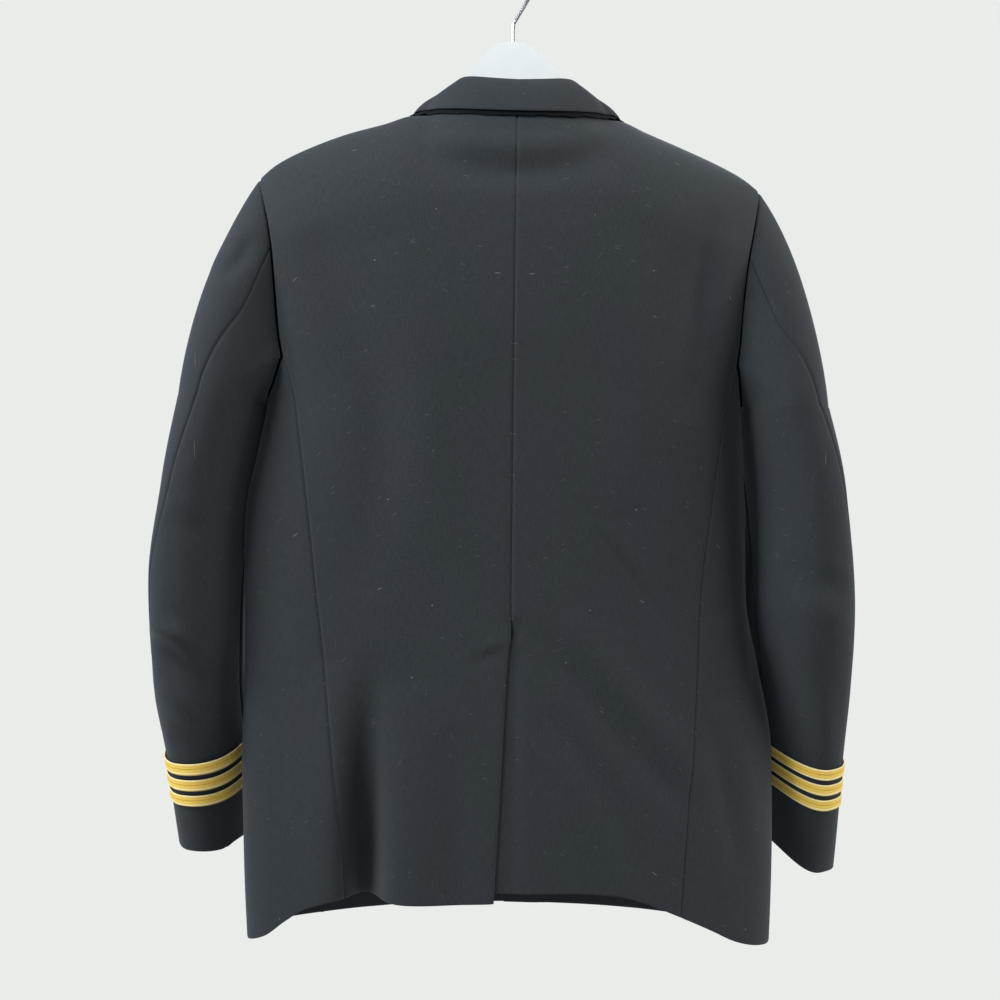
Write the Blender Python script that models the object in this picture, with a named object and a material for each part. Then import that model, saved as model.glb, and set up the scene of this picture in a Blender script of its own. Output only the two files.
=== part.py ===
"""A pilot's uniform jacket on a plain plastic hanger with a wire hook.

Metres, +Z up.  The jacket's back faces -Y and its front faces +Y, so the
wearer's left is -X.  The origin is the underside of the hook's top, where
the hanger hangs on a rail.  Every cloth piece is a thin wall through a grid
of points worked out from the tables below.
"""

import math

import bpy
import numpy as np

# ---------------------------------------------------------------- driving sizes
CLOTH = 0.0016            # wall of the worsted
FELT = 0.0011             # wall of the undercollar
BRAID = 0.0013            # wall of the gold braid
SEAM = 0.0003             # clear space between two pieces

ROUND = 2.5               # exponent of the body's flattened section
SHOULDER_DROP = 0.100     # height over which a panel turns over the shoulder
NECK_HALF = 0.088         # half the neck's width at the shoulder seams
SIDE_TOP = -0.410         # where the side seams reach the armhole
ARMHOLE_TOP = -0.2311
ARMHOLE_LOW = -0.450
VENT_TOP = -0.676
UNDERLAP = 0.035          # width of the vent's hidden extension
VENT_STEP = 0.0032        # how far the extension lies under the other back
FOLD_DEEP = 0.036         # the fold at the left of the back hem
FOLD_WIDE = 0.017
FRONT_STEP = 0.0028       # how far the right front lies under the left one
LAPEL_TOP = -0.222
BREAK = -0.452            # where the lapel's roll ends above the first button

LEVELS = (SIDE_TOP, ARMHOLE_LOW, -0.500, -0.550, -0.600, VENT_TOP + 0.022, VENT_TOP + 0.004)
LEVELS += (VENT_TOP, VENT_TOP - 0.024, -0.760, -0.820, -0.880)

BRAID_WIDTH = 0.0122
BRAID_PITCH = 0.0168
BRAIDS = 3

BUTTON_HEIGHTS = (-0.500, -0.610, -0.720)
BUTTON_RADIUS = 0.011
BUTTON_DEPTH = 0.0052

WIRE = 0.00175            # radius of the hook's wire
HOOK_RADIUS = 0.024       # to the middle of the wire
HOOK_BEND = -0.069
HANGER_TOP = -0.087
HANGER_THICK = 0.008

LEFT, RIGHT = -1, 1


def table(columns, *rows):
    """Named columns from a heading and rows of numbers."""
    return dict(zip(columns.split(), np.array(rows, float).T))


# half width and depth of the body by height
BODY = table(
    "height  left    right   back    front",
    (-0.160, 0.3100, 0.3000, 0.0680, 0.0740),
    (-0.230, 0.2950, 0.2830, 0.0770, 0.0780),
    (-0.300, 0.2740, 0.2620, 0.0830, 0.0800),
    (-0.380, 0.2560, 0.2400, 0.0850, 0.0810),
    (-0.450, 0.2460, 0.2270, 0.0830, 0.0820),
    (-0.500, 0.2550, 0.2300, 0.0810, 0.0830),
    (-0.560, 0.2660, 0.2325, 0.0790, 0.0830),
    (-0.640, 0.2680, 0.2350, 0.0780, 0.0830),
    (-0.700, 0.2680, 0.2455, 0.0785, 0.0830),
    (-0.790, 0.2690, 0.2600, 0.0800, 0.0835),
    (-0.880, 0.2655, 0.2620, 0.0820, 0.0840),
    (-0.990, 0.2605, 0.2595, 0.0835, 0.0845),
)
# outer edge of each back panel: the armhole, then the seam to the side panel
BACK_EDGE = table(
    "height  left    right",
    (-0.2311, 0.2560, 0.2435),
    (-0.2600, 0.2475, 0.2365),
    (-0.2850, 0.2410, 0.2310),
    (-0.3100, 0.2370, 0.2260),
    (-0.3500, 0.2335, 0.2218),
    (-0.3900, 0.2300, 0.2195),
    (-0.4100, 0.2260, 0.2175),
    (-0.4400, 0.2155, 0.2110),
    (-0.4700, 0.2098, 0.2025),
    (-0.5500, 0.1985, 0.1915),
    (-0.6400, 0.1880, 0.1812),
    (-0.7200, 0.1780, 0.1780),
    (-0.8000, 0.1695, 0.1735),
    (-0.8800, 0.1617, 0.1680),
    (-0.9900, 0.1540, 0.1610),
)
# outer edge of each front panel: the armhole, then the seam to the side panel
FRONT_EDGE = table(
    "height  left    right",
    (-0.2311, 0.2560, 0.2435),
    (-0.2600, 0.2440, 0.2330),
    (-0.3000, 0.2330, 0.2220),
    (-0.3500, 0.2260, 0.2150),
    (-0.3900, 0.2240, 0.2130),
    (-0.4100, 0.2230, 0.2125),
    (-0.5500, 0.2090, 0.1960),
    (-0.8000, 0.1980, 0.1950),
    (-0.9900, 0.1950, 0.1950),
)
# top edge of the panels, along the shoulder seam from neck to sleeve
SHOULDER = table(
    "along  left     right",
    (0.000, -0.1640, -0.1640),
    (0.100, -0.1650, -0.1655),
    (0.250, -0.1735, -0.1750),
    (0.500, -0.1860, -0.1900),
    (0.750, -0.2025, -0.2065),
    (0.900, -0.2165, -0.2190),
    (1.000, -0.2311, -0.2311),
)
# back of the neck, from the centre seam to the shoulder seam
NECK = table(
    "out    depth   height",
    (0.000, -0.0560, -0.1680),
    (0.030, -0.0535, -0.1677),
    (0.055, -0.0430, -0.1670),
    (0.075, -0.0230, -0.1655),
    (0.088, 0.0000, -0.1640),
)
# free edge of a front: the lapel's roll line, then the overlapped front edge
FRONT_INNER = table(
    "height  out",
    (-0.1640, 0.0880),
    (-0.2000, 0.0830),
    (-0.2500, 0.0700),
    (-0.3000, 0.0545),
    (-0.3500, 0.0380),
    (-0.4000, 0.0215),
    (-0.4500, 0.0045),
    (-0.4850, -0.0120),
    (-0.5100, -0.0180),
    (-0.9000, -0.0180),
    (-0.9500, -0.0140),
    (-0.9900, 0.0060),
)
LAPEL_EDGE = table(
    "height  out",
    (-0.2220, 0.1480),
    (-0.2500, 0.1590),
    (-0.2900, 0.1480),
    (-0.3400, 0.1230),
    (-0.4000, 0.0780),
    (-0.4520, 0.0140),
)
CENTRE_BACK = table(
    "height  x",
    (-0.160, 0.0000),
    (-0.350, -0.0010),
    (-0.600, -0.0012),
    (-0.676, -0.0010),
)
VENT_EDGE = table(
    "height  x",
    (-0.676, -0.0010),
    (-0.700, -0.0040),
    (-0.800, -0.0085),
    (-0.930, -0.0150),
)
HEM_BACK = table(
    "out     left     right",
    (0.000, -0.9270, -0.9185),
    (0.060, -0.9300, -0.9175),
    (0.100, -0.9310, -0.9200),
    (0.130, -0.9300, -0.9280),
    (0.160, -0.9305, -0.9400),
    (0.195, -0.9400, -0.9560),
    (0.220, -0.9560, -0.9690),
    (0.240, -0.9720, -0.9760),
    (0.262, -0.9830, -0.9810),
)
HEM_FRONT = table(
    "out     left     right",
    (0.000, -0.9720, -0.9720),
    (0.100, -0.9740, -0.9740),
    (0.200, -0.9800, -0.9800),
    (0.262, -0.9830, -0.9840),
)
# sleeve sections below the cap: middle, half sizes and turn about the sleeve
SLEEVES = {
    LEFT: table(
        "height  out     depth    half_wide half_deep turn",
        (-0.455, 0.2880, -0.0050, 0.0400, 0.0770, 6),
        (-0.540, 0.3045, -0.0090, 0.0372, 0.0720, 10),
        (-0.630, 0.3130, -0.0100, 0.0397, 0.0660, 12),
        (-0.720, 0.3125, 0.0000, 0.0386, 0.0610, 14),
        (-0.790, 0.3065, 0.0180, 0.0345, 0.0580, 16),
        (-0.893, 0.3000, 0.0520, 0.0295, 0.0580, 18),
    ),
    RIGHT: table(
        "height  out     depth    half_wide half_deep turn",
        (-0.455, 0.2670, -0.0050, 0.0370, 0.0770, 8),
        (-0.540, 0.2785, -0.0110, 0.0360, 0.0720, 20),
        (-0.640, 0.2848, -0.0120, 0.0410, 0.0660, 28),
        (-0.720, 0.2912, 0.0050, 0.0357, 0.0610, 28),
        (-0.800, 0.2945, 0.0300, 0.0315, 0.0575, 26),
        (-0.918, 0.2958, 0.0695, 0.0335, 0.0570, 22),
    ),
}
# the two sleeve seams, as angles round the sleeve (0 outside, 90 back)
SLEEVE_SEAMS = table(
    "station left right fore",
    (0.00, 72, 72, 236),
    (0.40, 86, 84, 232),
    (0.70, 86, 80, 226),
    (1.00, 84, 73, 216),
    (1.20, 74, 62, 206),
    (1.40, 52, 40, 198),
    (2.00, 30, 20, 190),
)
CUFF_TO_BRAID = {LEFT: 0.056, RIGHT: 0.0715}
CUFF_RISE = {LEFT: (0.010, 0.011, 0.0, 0.0), RIGHT: (0.0, 0.015, 0.034, 0.019)}
# the collar from the centre back (0) to its front end (1)
COLLAR = table(
    "along fold_out fold_y  fold_z   edge_out edge_turn",
    (0.00, 0.0000, -0.0500, -0.1390, 0.0000, 21.5),
    (0.15, 0.0290, -0.0485, -0.1375, 0.0340, 21),
    (0.30, 0.0520, -0.0400, -0.1350, 0.0640, 19),
    (0.45, 0.0715, -0.0200, -0.1430, 0.0870, 13),
    (0.60, 0.0855, 0.0050, -0.1530, 0.1020, 0),
    (0.80, 0.0835, 0.0490, -0.1760, 0.1120, -36),
    (1.00, 0.0775, 0.0745, -0.2060, 0.1180, -60),
)


def read(of, column, at):
    """Smooth value of a table's column where its first column equals `at`,
    which never passes the values of the rows on either side."""
    keys, values = next(iter(of.values())), of[column]
    if keys[0] > keys[-1]:
        keys, values = keys[::-1], values[::-1]
    rise = np.diff(values) / np.diff(keys)
    even = rise[:-1] * rise[1:]
    inside = np.where(even > 0, 2 * even / np.where(even > 0, rise[:-1] + rise[1:], 1), 0)
    slopes = np.concatenate([rise[:1], inside, rise[-1:]])
    at = np.clip(at, keys[0], keys[-1])
    low = np.clip(np.searchsorted(keys, at, side="right") - 1, 0, len(keys) - 2)
    span = keys[low + 1] - keys[low]
    t = (at - keys[low]) / span
    start = values[low] * (1 + 2 * t) * (1 - t) ** 2 + slopes[low] * span * t * (1 - t) ** 2
    end = values[low + 1] * t * t * (3 - 2 * t) - slopes[low + 1] * span * t * t * (1 - t)
    return start + end


def ease(low, high, value):
    """0 below `low`, 1 above `high`, with soft ends."""
    t = np.clip((value - low) / (high - low), 0, 1)
    return t * t * (3 - 2 * t)


def side_name(side):
    return "left" if side == LEFT else "right"


def hang(points):
    """The jacket sits a little tilted on its hanger and leans as it hangs."""
    out = np.array(points, float)
    x, z = out[..., 0].copy(), out[..., 2].copy()
    tilt = np.interp(z, (-0.95, -0.25), (0.0116, 0.0240))
    out[..., 0] = x + 0.0036 + 0.0105 * (z + 0.18)
    out[..., 2] = z - x * tilt
    return out


# ------------------------------------------------------------- the body's surface
def hem_fold(x, z):
    """The one deep fold, pressed inwards at the left of the back hem."""
    return FOLD_DEEP * ease(-0.700, -0.930, z) * np.exp(-(((x + 0.140) / FOLD_WIDE) ** 2))


def body_depth(side, out, z, face):
    """Depth of the body's flattened section at a distance out from the middle."""
    half = read(BODY, side_name(side), z)
    deep = read(BODY, "back" if face < 0 else "front", z)
    share = np.clip(np.abs(out) / half, 0, 1)
    y = face * deep * (1 - share**ROUND) ** (1 / ROUND)
    return y + hem_fold(side * out, z) * (face < 0)


def top_edge(side, out):
    """Depth and height of the neck and shoulder seams at a distance out."""
    reach = read(BACK_EDGE, side_name(side), ARMHOLE_TOP)
    along = np.clip((out - NECK_HALF) / (reach - NECK_HALF), 0, 1)
    in_neck = out < NECK_HALF
    depth = np.where(in_neck, read(NECK, "depth", out), 0.0)
    ridge = read(SHOULDER, side_name(side), along)
    return depth, np.where(in_neck, read(NECK, "height", out), ridge)


def yoke(side, out, turn, face):
    """The surface over the shoulder: turn 0 at the seam, 90 on the flat panel."""
    depth, ridge = top_edge(side, out)
    depth = depth if face < 0 else np.zeros_like(depth)
    turn = np.radians(turn)
    z = ridge - SHOULDER_DROP * (1 - np.cos(turn))
    flat = body_depth(side, out, z, face)
    y = depth + (flat - depth) * np.sin(turn)
    return np.stack([side * out, y, z], axis=-1)


def panel_rows(ridge, hem, over=6):
    """Heights of a panel's rows: close together over the shoulder, then the
    levels that every panel shares, and how far each row has turned down."""
    turns = np.linspace(0, 90, over)
    rows = list(ridge - SHOULDER_DROP * (1 - np.cos(np.radians(turns)))[:, None])
    rows.append((rows[-1] + LEVELS[0]) / 2)
    rows += [np.full_like(ridge, level) for level in LEVELS]
    rows += [(rows[-1] + hem) / 2, hem]
    blend = np.concatenate([np.sin(np.radians(turns)), np.ones(len(rows) - over)])
    return np.array(rows), blend[:, None]


def back_inner(side, z):
    """Inner edge of a back panel: centre seam, then vent edge or extension."""
    seam = np.where(z > VENT_TOP, read(CENTRE_BACK, "x", z), read(VENT_EDGE, "x", z))
    if side == LEFT:
        return side * seam + SEAM / 2
    return seam + SEAM / 2 - UNDERLAP * ease(VENT_TOP, VENT_TOP - 0.024, z)


def back_panel(side, across):
    name = side_name(side)
    reach = read(BACK_EDGE, name, ARMHOLE_TOP)
    low_in, low_out = back_inner(side, -0.93), read(BACK_EDGE, name, -0.93)
    top_depth, ridge = top_edge(side, reach * across)
    hem = read(HEM_BACK, name, np.abs(low_in + (low_out - low_in) * across))
    z, blend = panel_rows(ridge, hem)
    inner = back_inner(side, z)
    outer = read(BACK_EDGE, name, z) - 1.5 * SEAM
    out = inner + (outer - inner) * across
    y = top_depth + (body_depth(side, out, z, -1) - top_depth) * blend
    if side == RIGHT:
        under = ease(VENT_TOP + 0.022, VENT_TOP + 0.004, z) * ease(0.016, 0.002, out)
        y = y + VENT_STEP * under
    return np.stack([side * out, y, z], axis=-1)


def side_panel(side, across):
    name = side_name(side)
    dip = np.clip(np.sin(np.pi * across), 0, 1)
    top = SIDE_TOP + (ARMHOLE_LOW - SIDE_TOP) * dip

    def around(z, share):
        half = read(BODY, name, z)
        start = np.arccos(((read(BACK_EDGE, name, z) + SEAM / 2) / half) ** (ROUND / 2))
        stop = np.arccos(((read(FRONT_EDGE, name, z) + SEAM / 2) / half) ** (ROUND / 2))
        angle = -start + (start + stop) * share
        return half * np.cos(angle) ** (2 / ROUND), angle

    low, angle = around(np.full_like(across, -0.93), across)
    hem = np.where(angle < 0, read(HEM_BACK, name, low), read(HEM_FRONT, name, low))
    rows = [top, LEVELS[1] - 0.018 * dip] + [np.full_like(top, level) for level in LEVELS[2:]]
    z = np.array(rows + [(LEVELS[-1] + hem) / 2, hem])
    out, angle = around(z, across)
    deep = np.where(angle < 0, read(BODY, "back", z), read(BODY, "front", z))
    y = np.sign(angle) * deep * np.abs(np.sin(angle)) ** (2 / ROUND)
    y = y + hem_fold(side * out, z) * (angle < 0)
    return np.stack([side * out, y, z], axis=-1)


def front_panel(side, across):
    name = side_name(side)
    reach = read(FRONT_EDGE, name, ARMHOLE_TOP)
    _, ridge = top_edge(side, NECK_HALF + (reach - NECK_HALF) * across)
    hem = read(HEM_FRONT, name, read(FRONT_EDGE, name, -0.93) * across)
    z, blend = panel_rows(ridge, hem)
    inner = read(FRONT_INNER, "out", z)
    outer = read(FRONT_EDGE, name, z) - SEAM
    out = inner + (outer - inner) * across
    y = SEAM + body_depth(side, out, z, 1) * blend
    y = y - front_step(side, out)
    return np.stack([side * out, y, z], axis=-1)


def front_step(side, out):
    """The right front passes under the left one near the middle."""
    return FRONT_STEP * ease(0.045, 0.022, out) * (side == RIGHT)


def lapel(side, across, rows=11):
    """A lapel lies on its front, rolled over along the front's free edge."""
    z = np.linspace(LAPEL_TOP, BREAK, rows)[:, None]
    inner = read(FRONT_INNER, "out", z)
    outer = read(LAPEL_EDGE, "out", z)
    out = inner + (outer - inner) * across
    lift = CLOTH + 0.0013 + 0.0035 * (1 - across) ** 2
    y = body_depth(side, out, z, 1) - front_step(side, out) + lift
    return np.stack([side * out, y, z + 0 * out], axis=-1)


# -------------------------------------------------------------------- the sleeves
def armhole(side, angle):
    """A point of the armhole's edge: 0 at the shoulder, 90 back, 180 under."""
    name = side_name(side)
    angle = np.asarray(angle, float) % 360
    behind = angle < 180
    middle, half = (ARMHOLE_TOP + ARMHOLE_LOW) / 2, (ARMHOLE_TOP - ARMHOLE_LOW) / 2
    z = middle + half * np.cos(np.radians(angle))
    edge_back, edge_front = read(BACK_EDGE, name, z), read(FRONT_EDGE, name, z)
    turn = np.arccos(np.clip(1 - (ARMHOLE_TOP - z) / SHOULDER_DROP, 0, 1))
    y_back = body_depth(side, edge_back, z, -1) * np.sin(turn)
    y_front = body_depth(side, edge_front, z, 1) * np.sin(turn)
    out = np.where(behind, edge_back, edge_front)
    y = np.where(behind, y_back, y_front)
    sunk = np.clip((SIDE_TOP - z) / (SIDE_TOP - ARMHOLE_LOW), 0, 1)
    share = np.arcsin(sunk) / np.pi
    share = np.where(behind, share, 1 - share)
    body_half = read(BODY, name, z)
    start = np.arccos((edge_back / body_half) ** (ROUND / 2))
    stop = np.arccos((edge_front / body_half) ** (ROUND / 2))
    around = -start + (start + stop) * share
    deep = np.where(around < 0, read(BODY, "back", z), read(BODY, "front", z))
    out = np.where(z < SIDE_TOP, body_half * np.cos(around) ** (2 / ROUND), out)
    side_y = np.sign(around) * deep * np.abs(np.sin(around)) ** (2 / ROUND)
    y = np.where(z < SIDE_TOP, side_y, y)
    return np.stack([out, y, z], axis=-1)


def sleeve_section(side, angle, height):
    """A point of a section below the cap, and the sleeve's direction there."""
    of = SLEEVES[side]
    step = 0.004
    middle = np.stack([read(of, "out", height), read(of, "depth", height), height], -1)
    ahead = np.stack(
        [
            read(of, "out", height - step) - read(of, "out", height + step),
            read(of, "depth", height - step) - read(of, "depth", height + step),
            np.full_like(height, -2 * step),
        ],
        axis=-1,
    )
    axis = ahead / np.linalg.norm(ahead, axis=-1, keepdims=True)
    outward = np.array([1.0, 0.0, 0.0]) - axis * axis[..., :1]
    outward /= np.linalg.norm(outward, axis=-1, keepdims=True)
    rear = np.cross(axis, outward)
    turn = np.radians(read(of, "turn", height))[..., None]
    long_out = np.cos(turn) * outward - np.sin(turn) * rear
    long_rear = np.sin(turn) * outward + np.cos(turn) * rear
    a = np.radians(angle)
    wide = read(of, "half_wide", height) * np.sign(np.cos(a)) * np.abs(np.cos(a)) ** 0.9
    deep = read(of, "half_deep", height) * np.sign(np.sin(a)) * np.abs(np.sin(a)) ** 0.9
    return middle + wide[..., None] * long_out + deep[..., None] * long_rear, axis


def cuff_rise(side, angle):
    """How far the cuff's edge rises at an angle, because a hung cuff isn't level."""
    outer, rear, inner, front = CUFF_RISE[side]
    c, s = np.cos(np.radians(angle)), np.sin(np.radians(angle))
    across = outer * np.maximum(c, 0) ** 2 + inner * np.maximum(-c, 0) ** 2
    return across + rear * np.maximum(s, 0) ** 2 + front * np.maximum(-s, 0) ** 2


def sleeve(side, angle, station):
    """A point of the sleeve: station 0 armhole, 1 upper arm, 2 cuff."""
    angle, station = np.broadcast_arrays(np.asarray(angle, float), station)
    heights = next(iter(SLEEVES[side].values()))
    below = np.clip(station - 1, 0, 1)
    drop = heights[0] + (heights[-1] - heights[0]) * below + cuff_rise(side, angle) * below**4
    low, axis = sleeve_section(side, angle, drop)
    top = armhole(side, angle)
    top[..., 0] += 2 * SEAM
    radial = np.sign(top[..., 1]) * np.minimum(np.abs(top[..., 1]) / 0.04, 1)
    leave = np.stack([np.full_like(radial, 0.52), 0.42 * radial, np.full_like(radial, -0.74)], -1)
    reach = np.linalg.norm(low - top, axis=-1, keepdims=True)
    t = np.clip(station, 0, 1)[..., None]
    cap = (
        top * (1 + 2 * t) * (1 - t) ** 2
        + leave * reach * t * (1 - t) ** 2
        + low * t * t * (3 - 2 * t)
        - axis * reach * t * t * (1 - t)
    )
    point = np.where(t < 1, cap, low)
    point[..., 0] *= side
    return point


def cuff_station(side, distance):
    """The station at a distance up the sleeve from its cuff."""
    stations = np.linspace(1, 2, 101)
    angles = np.arange(0, 360, 90)[:, None]
    middle = sleeve(side, angles, stations[None, :]).mean(axis=0)
    steps = np.linalg.norm(np.diff(middle, axis=0), axis=1)
    left = np.concatenate([[0], np.cumsum(steps[::-1])])[::-1]
    return float(np.interp(-distance, -left, stations))


def braid_stations(side):
    """Stations of the braids' edges, from the highest braid down."""
    edges = []
    for number in range(BRAIDS):
        low = CUFF_TO_BRAID[side] + (BRAIDS - 1 - number) * BRAID_PITCH
        edges += [cuff_station(side, low + BRAID_WIDTH), cuff_station(side, low)]
    return edges


def seam_angles(side, upper, share, stations, slit=0.5):
    """Angles across the topsleeve (upper) or the undersleeve."""
    hind = read(SLEEVE_SEAMS, side_name(side), stations)
    fore = read(SLEEVE_SEAMS, "fore", stations)
    start, stop = (fore - 360 + slit, hind - slit) if upper else (hind + slit, fore - slit)
    return start + (stop - start) * share


def sleeve_piece(side, upper, share):
    """The topsleeve (upper) or the undersleeve, with a row at each braid's edges."""
    cap, arm = np.linspace(0, 1, 6), np.linspace(1.14, 1.70, 5)
    stations = np.concatenate([cap, arm, braid_stations(side), [2.0]])[:, None]
    return sleeve(side, seam_angles(side, upper, share, stations), stations)


# --------------------------------------------------------------- grids into solids
def normals_of(grid, ring=False, along=None):
    """Unit normals of a grid of points; ring says that its columns close."""
    if ring:
        along = np.roll(grid, -1, axis=1) - np.roll(grid, 1, axis=1)
    elif along is None:
        along = np.gradient(grid, axis=1)
    down = np.gradient(grid, axis=0)
    normal = np.cross(along, down)
    return normal / np.linalg.norm(normal, axis=-1, keepdims=True)


def wall(name, grid, thickness, material, ring=False, flip=False, along=None, first_inward=None):
    """A closed wall whose outer face is the grid.  flip turns its inside round,
    and first_inward is the way through the wall at the first row."""
    normal = normals_of(grid, ring, along) * (-1 if flip else 1)
    if first_inward is not None:
        normal[0] = -first_inward
    inner = grid - normal * thickness
    rows, columns = grid.shape[:2]
    points = np.concatenate([grid.reshape(-1, 3), inner.reshape(-1, 3)])
    count = rows * columns

    def at(row, column, face):
        return face * count + row * columns + column % columns

    faces = []
    last = columns if ring else columns - 1
    for row in range(rows - 1):
        for column in range(last):
            corners = [(row, column), (row + 1, column), (row + 1, column + 1), (row, column + 1)]
            faces.append([at(r, c, 0) for r, c in corners])
            faces.append([at(r, c, 1) for r, c in reversed(corners)])
    for column in range(last):
        for row, order in ((0, 1), (rows - 1, -1)):
            rim = [at(row, column, 0), at(row, column + 1, 0), at(row, column + 1, 1), at(row, column, 1)]
            faces.append(rim[::order])
    if not ring:
        for row in range(rows - 1):
            for column, order in ((0, -1), (columns - 1, 1)):
                rim = [at(row, column, 0), at(row + 1, column, 0), at(row + 1, column, 1), at(row, column, 1)]
                faces.append(rim[::order])
    mesh = bpy.data.meshes.new(name)
    mesh.from_pydata(points.tolist(), [], faces)
    return finish(name, mesh, material)


def panel(make, columns):
    """A panel's grid and the true direction across it at every point."""
    share, step = np.linspace(0, 1, columns), 0.002
    return hang(make(share)), hang(make(share + step)) - hang(make(share - step))


def finish(name, mesh, material):
    """Faces outwards, smooth shading and a material, as a new object."""
    corners = np.array([v.co[:] for v in mesh.vertices])
    mesh.calc_loop_triangles()
    index = np.array([t.vertices[:] for t in mesh.loop_triangles])
    if np.linalg.det(corners[index]).sum() < 0:
        mesh.flip_normals()
    mesh.shade_smooth()
    mesh.set_sharp_from_angle(angle=math.radians(40))
    mesh.materials.append(material)
    obj = bpy.data.objects.new(name, mesh)
    bpy.context.scene.collection.objects.link(obj)
    return obj


def material(name, colour, roughness, metallic=0.0):
    made = bpy.data.materials.new(name)
    made.use_nodes = True
    shader = made.node_tree.nodes["Principled BSDF"]
    shader.inputs["Base Color"].default_value = (*colour, 1.0)
    shader.inputs["Roughness"].default_value = roughness
    shader.inputs["Metallic"].default_value = metallic
    return made


def cloth_material(name):
    return material(name + "_worsted", (0.030, 0.033, 0.036), 0.85)


# -------------------------------------------------------------------- the pieces
PANELS = (("back", back_panel, 12), ("side", side_panel, 9), ("front", front_panel, 8), ("lapel", lapel, 6))


def build_body():
    for side in (LEFT, RIGHT):
        name = side_name(side)
        for piece, make, columns in PANELS:
            label = f"{piece}_{name}"
            grid, along = panel(lambda share: make(side, share), columns)
            turned = (piece in ("back", "side")) == (side == RIGHT)
            first = np.array([0.0, 0.0, -1.0]) if piece in ("back", "front") else None
            cloth = cloth_material(label)
            wall(label, grid, CLOTH, cloth, flip=turned, along=along, first_inward=first)


def build_sleeves():
    for side in (LEFT, RIGHT):
        for piece, upper in (("topsleeve", True), ("undersleeve", False)):
            label = f"{piece}_{side_name(side)}"
            grid, along = panel(lambda share: sleeve_piece(side, upper, share), 8)
            middle = hang(sleeve(side, np.arange(0, 360, 15), np.zeros(24))).mean(axis=0)
            toward = middle - grid[0]
            toward[:, 0] = 0
            toward /= np.linalg.norm(toward, axis=-1, keepdims=True)
            cloth = cloth_material(label)
            wall(label, grid, CLOTH, cloth, flip=side == LEFT, along=along, first_inward=toward)


def build_braid():
    share = np.linspace(0, 1, 8)
    for side in (LEFT, RIGHT):
        edges = braid_stations(side)
        for number in range(BRAIDS):
            label = f"braid_{side_name(side)}_{number + 1}"
            stations = np.array(edges[2 * number : 2 * number + 2])[:, None]
            under = seam_angles(side, False, share[:-1], stations, slit=0.0)
            over = seam_angles(side, True, share[:-1], stations, slit=0.0) + 360
            angles = np.concatenate([under, over], axis=1)
            grid = hang(sleeve(side, angles, stations))
            outward = normals_of(grid, ring=True) * (-1 if side == LEFT else 1)
            grid = grid + outward * (BRAID + 2 * SEAM)
            gold = material(label + "_gold", (0.74, 0.52, 0.14), 0.45, 0.4)
            wall(label, grid, BRAID, gold, ring=True, flip=side == LEFT)


def collar_curves(samples=14):
    """The fold line and the lower edge, as points on the right half."""
    along = np.linspace(0, 1, samples)
    fold = np.stack([read(COLLAR, c, along) for c in ("fold_out", "fold_y", "fold_z")], -1)
    out = read(COLLAR, "edge_out", along)
    turn = read(COLLAR, "edge_turn", along)
    return along, fold, out, turn


def on_yoke(out, turn, lift):
    """A point lifted off the shoulder's surface; a turn below 0 is in front."""
    face = np.where(turn >= 0, -1, 1)
    step = 0.0005

    def at(o, t):
        back = yoke(RIGHT, o, np.abs(t), -1)
        front = yoke(RIGHT, o, np.abs(t), 1)
        return np.where((face < 0)[..., None], back, front)

    here = at(out, turn)
    turned = at(out, turn + 1.0) - at(out, turn - 1.0)
    normal = np.cross(at(out + step, turn) - at(out - step, turn), turned)
    normal /= np.linalg.norm(normal, axis=-1, keepdims=True)
    lean = np.radians(turn)
    outside = np.stack([0 * out, -np.sin(lean), np.cos(lean)], -1)
    normal *= np.sign((normal * outside).sum(axis=-1, keepdims=True))
    return here + normal * lift


def both_halves(half):
    """A strip of the right half joined to its mirror image, across its columns."""
    mirrored = half[:, :0:-1] * np.array([-1.0, 1.0, 1.0])
    return np.concatenate([mirrored, half], axis=1)


def roll(fold, edge, share, bulge):
    """Rows from the fold line (0) to the edge (1), rounded near the fold."""
    control = fold * 0.45 + edge * 0.55
    control[..., 2] += bulge
    t = share[:, None, None]
    return fold * (1 - t) ** 2 + control * 2 * t * (1 - t) + edge * t * t


def build_collar():
    along, fold, out, turn = collar_curves()
    edge = on_yoke(out, turn, 0.0061)
    cloth = cloth_material("collar_fall")
    fall = both_halves(roll(fold, edge, np.linspace(0, 1, 6), 0.010))
    wall("collar_fall", hang(fall), CLOTH, cloth, flip=True)

    inner = both_halves(roll(fold, edge, np.array([0.14, 0.36, 0.58, 0.8, 1.0]), 0.010))
    inner = inner + normals_of(inner) * (CLOTH + 3 * SEAM)
    beyond = on_yoke(out + 0.003, turn + 4.5 * np.cos(np.radians(turn)), 0.0031)
    inner = np.concatenate([inner, both_halves(beyond[None])])
    felt = material("undercollar_felt", (0.006, 0.006, 0.007), 1.0)
    wall("undercollar", hang(inner), FELT, felt, flip=True)

    keep = along <= 0.62
    neck_out = np.minimum(fold[keep, 0] * 1.03, NECK_HALF)
    depth, height = top_edge(RIGHT, neck_out)
    seam = np.stack([neck_out, depth, height + 4 * SEAM], -1)
    top = fold[keep].copy()
    radius = np.linalg.norm(top[:, :2], axis=-1, keepdims=True)
    top[:, :2] *= (radius - 0.0045) / radius
    top[:, 2] -= 0.0050
    share = np.linspace(0, 1, 4)[:, None, None]
    stand = both_halves(top * (1 - share) + seam * share)
    wall("collar_stand", hang(stand), CLOTH, cloth_material("collar_stand"), flip=True)


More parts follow.
